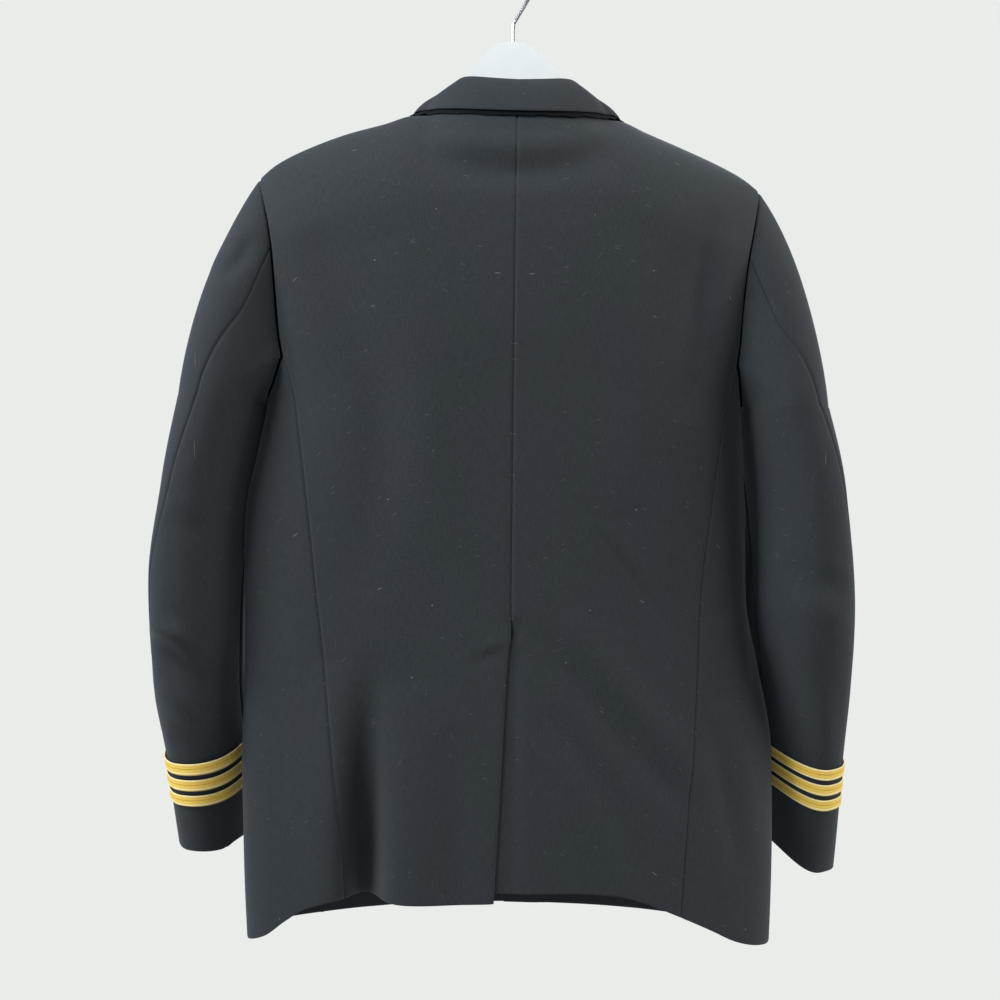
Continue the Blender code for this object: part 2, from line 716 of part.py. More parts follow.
def build_buttons():
    for number, height in enumerate(BUTTON_HEIGHTS, start=1):
        label = f"button_{number}"
        face = hang(np.array([0.0, float(body_depth(LEFT, 0.0, height, 1)) + SEAM, height]))
        segments, rings = 20, 4
        points, faces = [], []
        rim = 0.0022
        profile = [(BUTTON_RADIUS, 0.0004), (BUTTON_RADIUS, rim)]
        for ring in range(1, rings):
            turn = math.pi / 2 * ring / rings
            profile.append((BUTTON_RADIUS * math.cos(turn), rim + (BUTTON_DEPTH - rim) * math.sin(turn)))
        for radius, lift in profile:
            for step in range(segments):
                a = 2 * math.pi * step / segments
                points.append(face + np.array([radius * math.cos(a), lift, radius * math.sin(a)]))
        for ring in range(len(profile) - 1):
            for step in range(segments):
                nxt = (step + 1) % segments
                a, b = ring * segments, (ring + 1) * segments
                faces.append([a + step, a + nxt, b + nxt, b + step])
        faces.append(list(range(segments))[::-1])
        faces.append([(len(profile) - 1) * segments + step for step in range(segments)])
        mesh = bpy.data.meshes.new(label)
        mesh.from_pydata([p.tolist() for p in points], [], faces)
        finish(label, mesh, material(label + "_gilt", (0.72, 0.47, 0.14), 0.28, 1.0))


def hanger_outline():
    """Half of the hanger's outline from its top down and back to the middle."""
    mound = [(0.0, HANGER_TOP), (0.012, -0.0885), (0.023, -0.0945), (0.034, -0.1060), (0.045, -0.1205)]
    mound += [(0.057, -0.1420), (0.068, -0.1640)]
    arm = []
    for out in (0.088, 0.125, 0.160, 0.195, 0.218):
        _, ridge = top_edge(RIGHT, np.array(out))
        _, other = top_edge(LEFT, np.array(out))
        arm.append((out, float(min(ridge, other)) - CLOTH - 0.0045))
    tip = [(0.226, arm[-1][1] - 0.010), (0.221, arm[-1][1] - 0.018)]
    lower = [(out, height - 0.026) for out, height in reversed(arm[:-1])]
    return mound + arm + tip + lower + [(0.055, -0.1830), (0.0, -0.1790)]


def build_hanger():
    half = hanger_outline()
    outline = half + [(-x, z) for x, z in reversed(half[1:-1])]
    count = len(outline)
    half_thick = HANGER_THICK / 2
    points = [(x, y, z) for y in (-half_thick, half_thick) for x, z in outline]
    faces = [list(range(count)), list(range(2 * count - 1, count - 1, -1))]
    for step in range(count):
        nxt = (step + 1) % count
        faces.append([step, step + count, nxt + count, nxt])
    mesh = bpy.data.meshes.new("hanger")
    tilted = hang(np.array(points))
    shift = tilted[0, 0] - 0.0
    tilted[:, 0] -= shift * ease(-0.16, -0.09, tilted[:, 2])
    mesh.from_pydata(tilted.tolist(), [], faces)
    finish("hanger", mesh, material("hanger_plastic", (0.80, 0.84, 0.82), 0.30))


def build_hook():
    """A wire with a short stem, a lean towards +X and a round hook over it."""
    centre = WIRE - HOOK_RADIUS
    lean = math.asin(HOOK_RADIUS / (centre - HOOK_BEND))
    stem = [(0.0, HANGER_TOP + 0.0010), (0.0, HOOK_BEND - 0.006), (0.0007, HOOK_BEND + 0.0012)]
    joint = (HOOK_RADIUS * math.cos(lean), centre - HOOK_RADIUS * math.sin(lean))
    straight = [(joint[0] * t, HOOK_BEND + (joint[1] - HOOK_BEND) * t) for t in (0.15, 0.4, 0.7)]
    sweep = np.linspace(-lean, math.radians(195), 17)
    arc = [(HOOK_RADIUS * math.cos(a), centre + HOOK_RADIUS * math.sin(a)) for a in sweep]
    route = stem + straight + arc
    curve = bpy.data.curves.new("hook", "CURVE")
    curve.dimensions = "3D"
    curve.bevel_depth = WIRE
    curve.bevel_resolution = 2
    curve.use_fill_caps = True
    spline = curve.splines.new("POLY")
    spline.points.add(len(route) - 1)
    for point, (x, z) in zip(spline.points, route):
        point.co = (x, 0.0, z, 1.0)
    curve.materials.append(material("hook_chrome", (0.75, 0.76, 0.77), 0.15, 1.0))
    obj = bpy.data.objects.new("hook", curve)
    bpy.context.scene.collection.objects.link(obj)


def main():
    for obj in list(bpy.data.objects):
        bpy.data.objects.remove(obj, do_unlink=True)
    build_body()
    build_sleeves()
    build_braid()
    build_collar()
    build_buttons()
    build_hanger()
    build_hook()
    print(len(bpy.data.objects), "pieces")


main()
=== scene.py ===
# %% [markdown]
# # A pilot's uniform jacket on its hanger, from behind
# The imported model holds every cut piece of the jacket as a plain wall in its right place. This script
# loads those walls as a fixed frame and lays a finer shell of cloth over each one, with its seams,
# edges and creases, then gives every piece the finish of the real material. Nothing is simulated: a
# hung jacket keeps the shape it was pressed to, so its few folds are placed one by one.

# %% load the frame
import math

import bpy
import numpy as np
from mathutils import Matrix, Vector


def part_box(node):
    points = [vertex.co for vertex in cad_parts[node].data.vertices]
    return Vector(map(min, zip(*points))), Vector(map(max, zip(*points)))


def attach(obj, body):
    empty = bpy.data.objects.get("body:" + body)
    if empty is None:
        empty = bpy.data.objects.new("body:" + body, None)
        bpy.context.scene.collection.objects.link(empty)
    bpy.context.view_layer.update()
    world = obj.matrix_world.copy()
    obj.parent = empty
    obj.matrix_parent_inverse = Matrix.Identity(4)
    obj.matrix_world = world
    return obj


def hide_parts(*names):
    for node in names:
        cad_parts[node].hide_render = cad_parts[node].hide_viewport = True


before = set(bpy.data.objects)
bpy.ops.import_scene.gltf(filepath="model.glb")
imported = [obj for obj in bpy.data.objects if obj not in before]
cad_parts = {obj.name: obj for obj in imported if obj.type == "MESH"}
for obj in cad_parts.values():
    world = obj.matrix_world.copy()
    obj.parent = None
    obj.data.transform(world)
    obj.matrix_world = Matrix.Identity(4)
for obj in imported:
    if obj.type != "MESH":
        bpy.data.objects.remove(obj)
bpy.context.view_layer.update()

for startup in ("Cube", "Light", "Camera"):
    leftover = bpy.data.objects.get(startup)
    if leftover is not None:
        bpy.data.objects.remove(leftover, do_unlink=True)
print(len(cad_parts), "walls in the frame")

# %% [markdown]
# ## The camera
# The jacket hangs at eye height and is seen square on from behind, so the camera looks level along +Y
# from 1.4 m. A 50 mm lens at that distance shows a little of each sleeve's inner side, which a longer
# lens would flatten away.

# %% camera
scene = bpy.context.scene
lens = bpy.data.cameras.new("camera")
lens.lens = 50.2
lens.sensor_width = 36.0
camera = bpy.data.objects.new("camera", lens)
camera.location = (-0.013, -1.400, -0.5457)
camera.rotation_euler = (math.radians(90), 0.0, 0.0)
scene.collection.objects.link(camera)
scene.camera = camera
print("camera at", tuple(round(c, 3) for c in camera.location))


# %% [markdown]
# ## Colour and nodes
# Colours are written as sRGB hex, as a colour chart gives them, and turned to linear light by one
# function. A few more add a shader node with its settings and links, so that a material reads as a
# short list of what feeds what.

# %% helpers for materials
WORSTED_BLACK = "#20282A"


def linear(code):
    """Linear RGBA from an sRGB hex code."""
    channels = [int(code[start : start + 2], 16) / 255 for start in (1, 3, 5)]
    light = [c / 12.92 if c <= 0.04045 else ((c + 0.055) / 1.055) ** 2.4 for c in channels]
    return (*light, 1.0)


def add(tree, kind, inputs=None, **settings):
    """A node of this kind: settings are its own values, inputs its sockets' values or links."""
    made = tree.nodes.new(kind)
    for key, value in settings.items():
        setattr(made, key, value)
    for key, value in (inputs or {}).items():
        if isinstance(value, bpy.types.NodeSocket):
            tree.links.new(value, made.inputs[key])
        else:
            made.inputs[key].default_value = linear(value) if isinstance(value, str) else value
    return made


def mixed(tree, factor, first, second, **settings):
    """A colour between two, each a hex code or a link."""
    inputs = {"Factor": factor, "A": first, "B": second}
    return add(tree, "ShaderNodeMix", inputs, data_type="RGBA", **settings).outputs["Result"]


def noise(tree, at, **inputs):
    """Noise over coordinates, which are already to scale unless a Scale is given."""
    return add(tree, "ShaderNodeTexNoise", {"Vector": at, "Scale": 1.0, **inputs}).outputs["Fac"]


def ranged(tree, value, start, stop, low, high):
    """A value's range from start to stop, stretched over low to high."""
    inputs = {"Value": value, "From Min": start, "From Max": stop, "To Min": low, "To Max": high}
    return add(tree, "ShaderNodeMapRange", inputs).outputs["Result"]


def reckon(tree, operation, *values):
    """One step of arithmetic on values or links."""
    return add(tree, "ShaderNodeMath", dict(enumerate(values)), operation=operation).outputs["Value"]


def raised(tree, shader, height, strength, distance):
    """The surface stands out by a height map."""
    inputs = {"Height": height, "Strength": strength, "Distance": distance}
    tree.links.new(add(tree, "ShaderNodeBump", inputs).outputs["Normal"], shader.inputs["Normal"])


def new_material(name, **values):
    """A material, its node tree and its Principled shader, with these values on its sockets."""
    made = bpy.data.materials.new(name)
    made.use_nodes = True
    shader = made.node_tree.nodes["Principled BSDF"]
    for key, value in values.items():
        socket = "IOR" if key == "ior" else key.replace("_", " ").title().replace("Ior", "IOR")
        shader.inputs[socket].default_value = linear(value) if isinstance(value, str) else value
    return made, made.node_tree, shader


print("worsted black is", [round(c, 4) for c in linear(WORSTED_BLACK)])

# %% [markdown]
# ## Floor, room and light
# The floor is a pale disc well below the hem, and the room an even pale white. A soft lamp stands high
# on each side, as two windows would, so that shoulders and sleeves are the lightest parts and the
# jacket darkens downwards. A weak one overhead and one in front keep the rest from going black.

# %% floor and room
FLOOR_HEIGHT = -1.72
FLOOR_RADIUS = 1.8
ROOM_LIGHT = 0.32         # the walls light the jacket less than they show, as in a dim studio

paint, tree, shader = new_material("matt_white_floor_paint", roughness=0.9)
mottle = add(tree, "ShaderNodeTexNoise", {"Scale": 1.5, "Detail": 2.0})
tree.links.new(mixed(tree, mottle.outputs["Fac"], "#DFE1E0", "#E3E5E4"), shader.inputs["Base Color"])

disc = bpy.data.meshes.new("floor")
turns = np.linspace(0, 2 * math.pi, 96, endpoint=False)
rim = [(FLOOR_RADIUS * math.cos(a), FLOOR_RADIUS * math.sin(a), FLOOR_HEIGHT) for a in turns]
disc.from_pydata(rim, [], [list(range(len(rim)))])
disc.materials.append(paint)
floor = bpy.data.objects.new("floor", disc)
scene.collection.objects.link(floor)

world = bpy.data.worlds.new("room")
world.use_nodes = True
scene.world = world
room = world.node_tree
wall = room.nodes["Background"]
wall.inputs["Color"].default_value = linear("#EAECEA")
air = add(room, "ShaderNodeBackground", {"Color": linear("#E6ECF2"), "Strength": ROOM_LIGHT})
seen = add(room, "ShaderNodeLightPath")
either = add(room, "ShaderNodeMixShader", {0: seen.outputs["Is Camera Ray"]})
room.links.new(air.outputs["Background"], either.inputs[1])
room.links.new(wall.outputs["Background"], either.inputs[2])
room.links.new(either.outputs["Shader"], room.nodes["World Output"].inputs["Surface"])
scene.view_settings.view_transform = "Standard"
print("floor", -FLOOR_HEIGHT, "m below the hook")


# %% lamps
def lamp(name, place, aim, size, watts, colour):
    """A square area lamp at a place, turned to face a point."""
    light = bpy.data.lights.new(name, "AREA")
    light.size = size
    light.energy = watts
    light.color = linear(colour)[:3]
    obj = bpy.data.objects.new(name, light)
    obj.location = place
    away = np.array(place) - np.array(aim)
    flat = math.hypot(away[0], away[1])
    obj.rotation_euler = (math.atan2(flat, away[2]), 0.0, math.atan2(away[1], away[0]) + math.pi / 2)
    scene.collection.objects.link(obj)


MIDDLE = (0.0, 0.0, -0.55)
lamp("window", (2.5, -0.5, 0.6), MIDDLE, 1.3, 70.0, "#FFFDFA")
lamp("left_window", (-1.9, -1.1, 0.9), MIDDLE, 1.3, 97.0, "#FBFDFF")
lamp("overhead", (0.0, -1.3, 1.5), MIDDLE, 1.6, 15.0, "#FFFFFF")
lamp("front_fill", (0.4, 2.4, 0.5), MIDDLE, 1.8, 30.0, "#FFFFFF")

# %% [markdown]
# ## Worsted
# The jacket is a plain-weave worsted: combed wool, spun hard and woven tight, then pressed. It is
# matt, with a faint bloom where the light grazes it, and slightly uneven yarns that show as short
# flecks along the weft. Its threads are about 0.4 mm apart, too fine to draw one by one from here, so
# the weave is drawn 1.6 mm apart and shallow. The pattern follows each piece's own grain through a UV
# map in metres. Sparse pale lint and short hairs are part of the same material.

# %% worsted
WEAVE = 0.0016          # drawn thread spacing; the real one is about 0.0004
FLECK_LONG = 0.0060
FLECK_HIGH = 0.0011
LINT_CELL = 0.030       # the length that hairs and specks are spread by
SLUB_CELL = 0.0032      # thicker places in a weft thread, in one cell in eleven


def grain(tree, across, down):
    """UV coordinates in metres, divided by a length across and a length down."""
    at = add(tree, "ShaderNodeUVMap", uv_map="grain")
    scale = (1 / across, 1 / down, 1.0)
    return add(tree, "ShaderNodeMapping", {"Vector": at.outputs["UV"], "Scale": scale}).outputs["Vector"]


def lint_mask(tree, across, down, turn, share, size=0.045):
    """Sparse thin marks: the middles of stretched cells, kept in only a share of them."""
    inputs = {"Vector": grain(tree, across, down), "Rotation": (0, 0, turn)}
    turned = add(tree, "ShaderNodeMapping", inputs)
    spots = add(tree, "ShaderNodeTexVoronoi", {"Vector": turned.outputs["Vector"], "Scale": 1.0})
    near = reckon(tree, "LESS_THAN", spots.outputs["Distance"], size)
    chosen = add(tree, "ShaderNodeSeparateColor", {"Color": spots.outputs["Color"]})
    kept = reckon(tree, "LESS_THAN", chosen.outputs["Red"], share)
    return reckon(tree, "MULTIPLY", near, kept)


def worsted(name):
    made, tree, shader = new_material(
        name,
        roughness=0.84,
        ior=1.54,
        specular_ior_level=0.25,
        sheen_weight=0.16,
        sheen_roughness=0.45,
        sheen_tint="#C9D2D8",
    )
    cast = noise(tree, grain(tree, 0.09, 0.12), Detail=2.0)
    base = mixed(tree, cast, WORSTED_BLACK, "#24272E")
    weft = noise(tree, grain(tree, FLECK_LONG, FLECK_HIGH), Detail=3.0, Roughness=0.6)
    warp = noise(tree, grain(tree, FLECK_HIGH, FLECK_LONG * 1.6), Detail=2.0)
    yarns = reckon(tree, "MULTIPLY", weft, warp)
    fleck = ranged(tree, yarns, 0.14, 0.48, 0.78, 1.30)
    flecked = mixed(tree, 1.0, base, fleck, blend_type="MULTIPLY")
    hairs = lint_mask(tree, LINT_CELL * 2.2, LINT_CELL * 0.16, 0.35, 0.16)
    specks = lint_mask(tree, LINT_CELL * 0.5, LINT_CELL * 0.35, 0.0, 0.05)
    slubs = lint_mask(tree, SLUB_CELL * 5.0, SLUB_CELL, 0.0, 0.09, size=0.15)
    pale = reckon(tree, "MULTIPLY", reckon(tree, "MAXIMUM", hairs, specks), 0.35)
    thick = reckon(tree, "MULTIPLY", slubs, 0.055)
    coloured = mixed(tree, reckon(tree, "MAXIMUM", pale, thick), flecked, "#B9BDBC")
    tree.links.new(coloured, shader.inputs["Base Color"])
    over = add(tree, "ShaderNodeTexChecker", {"Vector": grain(tree, WEAVE, WEAVE), "Scale": 1.0})
    raised(tree, shader, reckon(tree, "ADD", over.outputs["Fac"], yarns), 0.35, 0.00022)
    return made


WORSTED = worsted("woven_pressed_worsted")
print(len(WORSTED.node_tree.nodes), "nodes in the worsted")

# %% [markdown]
# ## Undercollar felt
# Under the collar a tailor sews a strip of melton felt, cut on its raw edge because felt doesn't fray.
# It is blacker than the worsted, has no threads, and its nap picks up lint. Its near-black colour is
# partly the felt's own and partly painted shade from the collar's fall above it. A fine noise raises
# the nap.

# %% felt
FELT_NAP = 0.0013


def melton_felt():
    made, tree, shader = new_material(
        "melton_undercollar_felt", roughness=0.95, ior=1.54, specular_ior_level=0.1, sheen_weight=0.04
    )
    nap = noise(tree, grain(tree, FELT_NAP, FELT_NAP), Detail=4.0, Roughness=0.7)
    # Near-black felt, darkened further as painted shade under the collar's fall.
    black_and_shade_tones = mixed(tree, nap, "#040506", "#0E1013")
    specks = lint_mask(tree, LINT_CELL * 0.24, LINT_CELL * 0.14, 0.0, 0.30)
    coloured = mixed(tree, reckon(tree, "MULTIPLY", specks, 0.5), black_and_shade_tones, "#8E9196")
    tree.links.new(coloured, shader.inputs["Base Color"])
    raised(tree, shader, nap, 0.8, 0.0005)
    return made


FELT_FINISH = melton_felt()
print(len(FELT_FINISH.node_tree.nodes), "nodes in the felt")

# %% [markdown]
# ## Gold rank braid
# Rank braid is a woven band of gold thread with a cord core: thick edges, fine ribs along its
# length and a groove along its middle. The ribs themselves are in the mesh.
# The material colours them across the band with painted light over the gold's own colour: pale painted
# highlights near the edges and a dark line of painted shade along the middle groove. It also adds the
# crosswise threads, 0.5 mm apart in a real band and drawn 1 mm apart here.

# %% braid material
BRAID_WIDTH = 0.0122
BRAID_THREAD = 0.0010


def gold_braid():
    made, tree, shader = new_material(
        "woven_gold_rank_braid", metallic=0.15, roughness=0.50, sheen_weight=0.10
    )
    at = grain(tree, BRAID_THREAD, BRAID_WIDTH)
    place = add(tree, "ShaderNodeSeparateXYZ", {"Vector": at})
    # The ramp paints light on the gold: pale painted highlights near both edges, and a dark line of painted
    # shade along the middle groove.
    gold_and_painted_light_bands = add(tree, "ShaderNodeValToRGB", {"Fac": place.outputs["Y"]})
    ramp = gold_and_painted_light_bands.color_ramp
    gold_and_painted_light_stops = (
        (0.00, "#D9B555"),
        (0.05, "#FBEDB4"),
        (0.17, "#F8E59A"),
        (0.24, "#E6BC42"),
        (0.32, "#F6D050"),
        (0.45, "#F0C545"),
        (0.50, "#C0932F"),
        (0.55, "#F1C948"),
        (0.70, "#F7D355"),
        (0.77, "#E6BC42"),
        (0.84, "#F8E59A"),
        (0.95, "#FBEDB4"),
        (1.00, "#D9B555"),
    )
    while len(ramp.elements) < len(gold_and_painted_light_stops):
        ramp.elements.new(0.5)
    for element, (position, colour) in zip(ramp.elements, gold_and_painted_light_stops):
        element.position = position
        element.color = linear(colour)
    wear = noise(tree, grain(tree, 0.0022, 0.0012), Detail=3.0, Roughness=0.7)
    dull = ranged(tree, wear, 0.25, 0.75, 0.78, 1.12)
    coloured = mixed(tree, 1.0, gold_and_painted_light_bands.outputs["Color"], dull, blend_type="MULTIPLY")
    nubs = noise(tree, grain(tree, 0.0026, 0.0014), Detail=1.0)
    nubbed = mixed(tree, ranged(tree, nubs, 0.62, 0.74, 0.0, 0.6), coloured, "#E8A268")
    tree.links.new(nubbed, shader.inputs["Base Color"])
    wave = reckon(tree, "SINE", reckon(tree, "MULTIPLY", place.outputs["X"], 6.2832))
    raised(tree, shader, reckon(tree, "ADD", wave, wear), 0.5, 0.00015)
    return made


GOLD = gold_braid()
print(len(GOLD.node_tree.nodes), "nodes in the braid")

# %% [markdown]
# ## Button, hook and hanger finishes
# The buttons are stamped brass with a gilt wash, satin from polishing. The hook is drawn steel wire
# with bright chrome plating, so it mirrors the room. The hanger is moulded polystyrene, white and a
# little translucent, with the faint ripple of its mould.


# %% metal and plastic
def metal(name, colour, roughness, scratch):
    made, tree, shader = new_material(name, base_color=colour, metallic=1.0)
    place = add(tree, "ShaderNodeTexCoord").outputs["Object"]
    marks = noise(tree, place, Scale=scratch, Detail=4.0)
    spread = ranged(tree, marks, 0.0, 1.0, roughness * 0.7, roughness * 1.4)
    tree.links.new(spread, shader.inputs["Roughness"])
    raised(tree, shader, marks, 0.1, 0.0001)
    return made


def moulded_polystyrene():
    made, tree, shader = new_material(
        "moulded_white_polystyrene",
        roughness=0.32,
        ior=1.59,
        subsurface_weight=0.35,
        subsurface_radius=(0.006, 0.006, 0.006),
    )
    ripple = noise(tree, add(tree, "ShaderNodeTexCoord").outputs["Object"], Scale=60.0, Detail=2.0)
    tree.links.new(mixed(tree, ripple, "#D3D8DA", "#DADFE0"), shader.inputs["Base Color"])
    raised(tree, shader, ripple, 0.15, 0.0004)
    return made


GILT = metal("gilt_stamped_brass", "#DDB158", 0.26, 900.0)
CHROME = metal("chrome_plated_wire", "#D9DBDC", 0.10, 1400.0)
PLASTIC = moulded_polystyrene()
print("finishes:", WORSTED.name, FELT_FINISH.name, GOLD.name, GILT.name, CHROME.name, PLASTIC.name)

# %% [markdown]
# ## The jacket's sizes
# The shells have to lie where the walls do, so the same sizes and tables describe them: the body's
# flattened section by height, the seams between the panels, the shoulder line, the hems, the sleeves'
# sections and the collar's fold. A table is read with a smooth curve that never passes its own rows,
# which keeps a hem or a front edge from bulging between two of them.

# %% sizes
CLOTH = 0.0016
FELT = 0.0011
BRAID = 0.0013
SEAM = 0.0003
MEET = 0.0001            # sewn edges overlap by this much, so that no light comes through
ROUND = 2.5
SHOULDER_DROP = 0.100
HEM_LEVEL = -0.93          # near enough to the hems to read widths there
NECK_HALF = 0.088
SIDE_TOP = -0.410
ARMHOLE_TOP = -0.2311
ARMHOLE_LOW = -0.450
VENT_TOP = -0.676
UNDERLAP = 0.035
VENT_STEP = 0.0032
FOLD_DEEP = 0.036
FOLD_WIDE = 0.017
FRONT_STEP = 0.0028
LAPEL_TOP = -0.222
BREAK = -0.452
BRAID_PITCH = 0.0168
BRAIDS = 3
LEFT, RIGHT = -1, 1


def table(columns, *rows):
    """Named columns from a heading and rows of numbers."""
    return dict(zip(columns.split(), np.array(rows, float).T))


BODY = table(
    "height  left    right   back    front",
    (-0.160, 0.3100, 0.3000, 0.0680, 0.0740),
    (-0.230, 0.2950, 0.2830, 0.0770, 0.0780),
    (-0.300, 0.2740, 0.2620, 0.0830, 0.0800),
    (-0.380, 0.2560, 0.2400, 0.0850, 0.0810),
    (-0.450, 0.2460, 0.2270, 0.0830, 0.0820),
    (-0.500, 0.2550, 0.2300, 0.0810, 0.0830),
    (-0.560, 0.2660, 0.2325, 0.0790, 0.0830),
    (-0.640, 0.2680, 0.2350, 0.0780, 0.0830),
    (-0.700, 0.2680, 0.2455, 0.0785, 0.0830),
    (-0.790, 0.2690, 0.2600, 0.0800, 0.0835),
    (-0.880, 0.2655, 0.2620, 0.0820, 0.0840),
    (-0.990, 0.2605, 0.2595, 0.0835, 0.0845),
)
BACK_EDGE = table(
    "height  left    right",
    (-0.2311, 0.2560, 0.2435),
    (-0.2600, 0.2475, 0.2365),
    (-0.2850, 0.2410, 0.2310),
    (-0.3100, 0.2370, 0.2260),
    (-0.3500, 0.2335, 0.2218),
    (-0.3900, 0.2300, 0.2195),
    (-0.4100, 0.2260, 0.2175),
    (-0.4400, 0.2155, 0.2110),
    (-0.4700, 0.2098, 0.2025),
    (-0.5500, 0.1985, 0.1915),
    (-0.6400, 0.1880, 0.1812),
    (-0.7200, 0.1780, 0.1780),
    (-0.8000, 0.1695, 0.1735),
    (-0.8800, 0.1617, 0.1680),
    (-0.9900, 0.1540, 0.1610),
)
FRONT_EDGE = table(
    "height  left    right",
    (-0.2311, 0.2560, 0.2435),
    (-0.2600, 0.2440, 0.2330),
    (-0.3000, 0.2330, 0.2220),
    (-0.3500, 0.2260, 0.2150),
    (-0.3900, 0.2240, 0.2130),
    (-0.4100, 0.2230, 0.2125),
    (-0.5500, 0.2090, 0.1960),
    (-0.8000, 0.1980, 0.1950),
    (-0.9900, 0.1950, 0.1950),
)
SHOULDER = table(
    "along  left     right",
    (0.000, -0.1640, -0.1640),
    (0.100, -0.1650, -0.1655),
    (0.250, -0.1735, -0.1750),
    (0.500, -0.1860, -0.1900),
    (0.750, -0.2025, -0.2065),
    (0.900, -0.2165, -0.2190),
    (1.000, -0.2311, -0.2311),
)
NECK = table(
    "out    depth   height",
    (0.000, -0.0560, -0.1680),
    (0.030, -0.0535, -0.1677),
    (0.055, -0.0430, -0.1670),
    (0.075, -0.0230, -0.1655),
    (0.088, 0.0000, -0.1640),
)
FRONT_INNER = table(
    "height  out",
    (-0.1640, 0.0880),
    (-0.2000, 0.0830),
    (-0.2500, 0.0700),
    (-0.3000, 0.0545),
    (-0.3500, 0.0380),
    (-0.4000, 0.0215),
    (-0.4500, 0.0045),
    (-0.4850, -0.0120),
    (-0.5100, -0.0180),
    (-0.9000, -0.0180),
    (-0.9500, -0.0140),
    (-0.9900, 0.0060),
)
LAPEL_EDGE = table(
    "height  out",
    (-0.2220, 0.1480),
    (-0.2500, 0.1590),
    (-0.2900, 0.1480),
    (-0.3400, 0.1230),
    (-0.4000, 0.0780),
    (-0.4520, 0.0140),
)
CENTRE_BACK = table(
    "height  x",
    (-0.160, 0.0000),
    (-0.350, -0.0010),
    (-0.600, -0.0012),
    (-0.676, -0.0010),
)
VENT_EDGE = table(
    "height  x",
    (-0.676, -0.0010),
    (-0.700, -0.0040),
    (-0.800, -0.0085),
    (-0.930, -0.0150),
)
HEM_BACK = table(
    "out     left     right",
    (0.000, -0.9270, -0.9185),
    (0.060, -0.9300, -0.9175),
    (0.100, -0.9310, -0.9200),
    (0.130, -0.9300, -0.9280),
    (0.160, -0.9305, -0.9400),
    (0.195, -0.9400, -0.9560),
    (0.220, -0.9560, -0.9690),
    (0.240, -0.9720, -0.9760),
    (0.262, -0.9830, -0.9810),
)
HEM_FRONT = table(
    "out     left     right",
    (0.000, -0.9720, -0.9720),
    (0.100, -0.9740, -0.9740),
    (0.200, -0.9800, -0.9800),
    (0.262, -0.9830, -0.9840),
)
SLEEVES = {
    LEFT: table(
        "height  out     depth    half_wide half_deep turn",
        (-0.455, 0.2880, -0.0050, 0.0400, 0.0770, 6),
        (-0.540, 0.3045, -0.0090, 0.0372, 0.0720, 10),
        (-0.630, 0.3130, -0.0100, 0.0397, 0.0660, 12),
        (-0.720, 0.3125, 0.0000, 0.0386, 0.0610, 14),
        (-0.790, 0.3065, 0.0180, 0.0345, 0.0580, 16),
        (-0.893, 0.3000, 0.0520, 0.0295, 0.0580, 18),
    ),
    RIGHT: table(
        "height  out     depth    half_wide half_deep turn",
        (-0.455, 0.2670, -0.0050, 0.0370, 0.0770, 8),
        (-0.540, 0.2785, -0.0110, 0.0360, 0.0720, 20),
        (-0.640, 0.2848, -0.0120, 0.0410, 0.0660, 28),
        (-0.720, 0.2912, 0.0050, 0.0357, 0.0610, 28),
        (-0.800, 0.2945, 0.0300, 0.0315, 0.0575, 26),
        (-0.918, 0.2958, 0.0695, 0.0335, 0.0570, 22),
    ),
}
SLEEVE_SEAMS = table(
    "station left right fore",
    (0.00, 72, 72, 236),
    (0.40, 86, 84, 232),
    (0.70, 86, 80, 226),
    (1.00, 84, 73, 216),
    (1.20, 74, 62, 206),
    (1.40, 52, 40, 198),
    (2.00, 30, 20, 190),
)
CUFF_TO_BRAID = {LEFT: 0.056, RIGHT: 0.0715}
CUFF_RISE = {LEFT: (0.010, 0.011, 0.0, 0.0), RIGHT: (0.0, 0.015, 0.034, 0.019)}
COLLAR = table(
    "along fold_out fold_y  fold_z   edge_out edge_turn",
    (0.00, 0.0000, -0.0500, -0.1390, 0.0000, 21.5),
    (0.15, 0.0290, -0.0485, -0.1375, 0.0340, 21),
    (0.30, 0.0520, -0.0400, -0.1350, 0.0640, 19),
    (0.45, 0.0715, -0.0200, -0.1430, 0.0870, 13),
    (0.60, 0.0855, 0.0050, -0.1530, 0.1020, 0),
    (0.80, 0.0835, 0.0490, -0.1760, 0.1120, -36),
    (1.00, 0.0775, 0.0745, -0.2060, 0.1180, -60),
)
print("the back is", round(abs(HEM_BACK["left"][0] - NECK["height"][0]), 3), "m long at its centre seam")


# %% reading a table
def hermite(start, end, leave, arrive, t):
    """A cubic curve between two values, with its slopes at the start and the end."""
    first = start * (1 + 2 * t) * (1 - t) ** 2 + leave * t * (1 - t) ** 2
    return first + (end * t * t * (3 - 2 * t) - arrive * t * t * (1 - t))


def read(of, column, at):
    """Smooth value of a table's column where its first column equals `at`,
    which never passes the values of the rows on either side."""
    keys, values = next(iter(of.values())), of[column]
    if keys[0] > keys[-1]:
        keys, values = keys[::-1], values[::-1]
    rise = np.diff(values) / np.diff(keys)
    even = rise[:-1] * rise[1:]
    inside = np.where(even > 0, 2 * even / np.where(even > 0, rise[:-1] + rise[1:], 1), 0)
    slopes = np.concatenate([rise[:1], inside, rise[-1:]])
    at = np.clip(at, keys[0], keys[-1])
    low = np.clip(np.searchsorted(keys, at, side="right") - 1, 0, len(keys) - 2)
    span = keys[low + 1] - keys[low]
    t = (at - keys[low]) / span
    return hermite(values[low], values[low + 1], slopes[low] * span, slopes[low + 1] * span, t)


def ease(low, high, value):
    """0 below `low`, 1 above `high`, with soft ends."""
    t = np.clip((value - low) / (high - low), 0, 1)
    return t * t * (3 - 2 * t)


def side_name(side):
    return "left" if side == LEFT else "right"


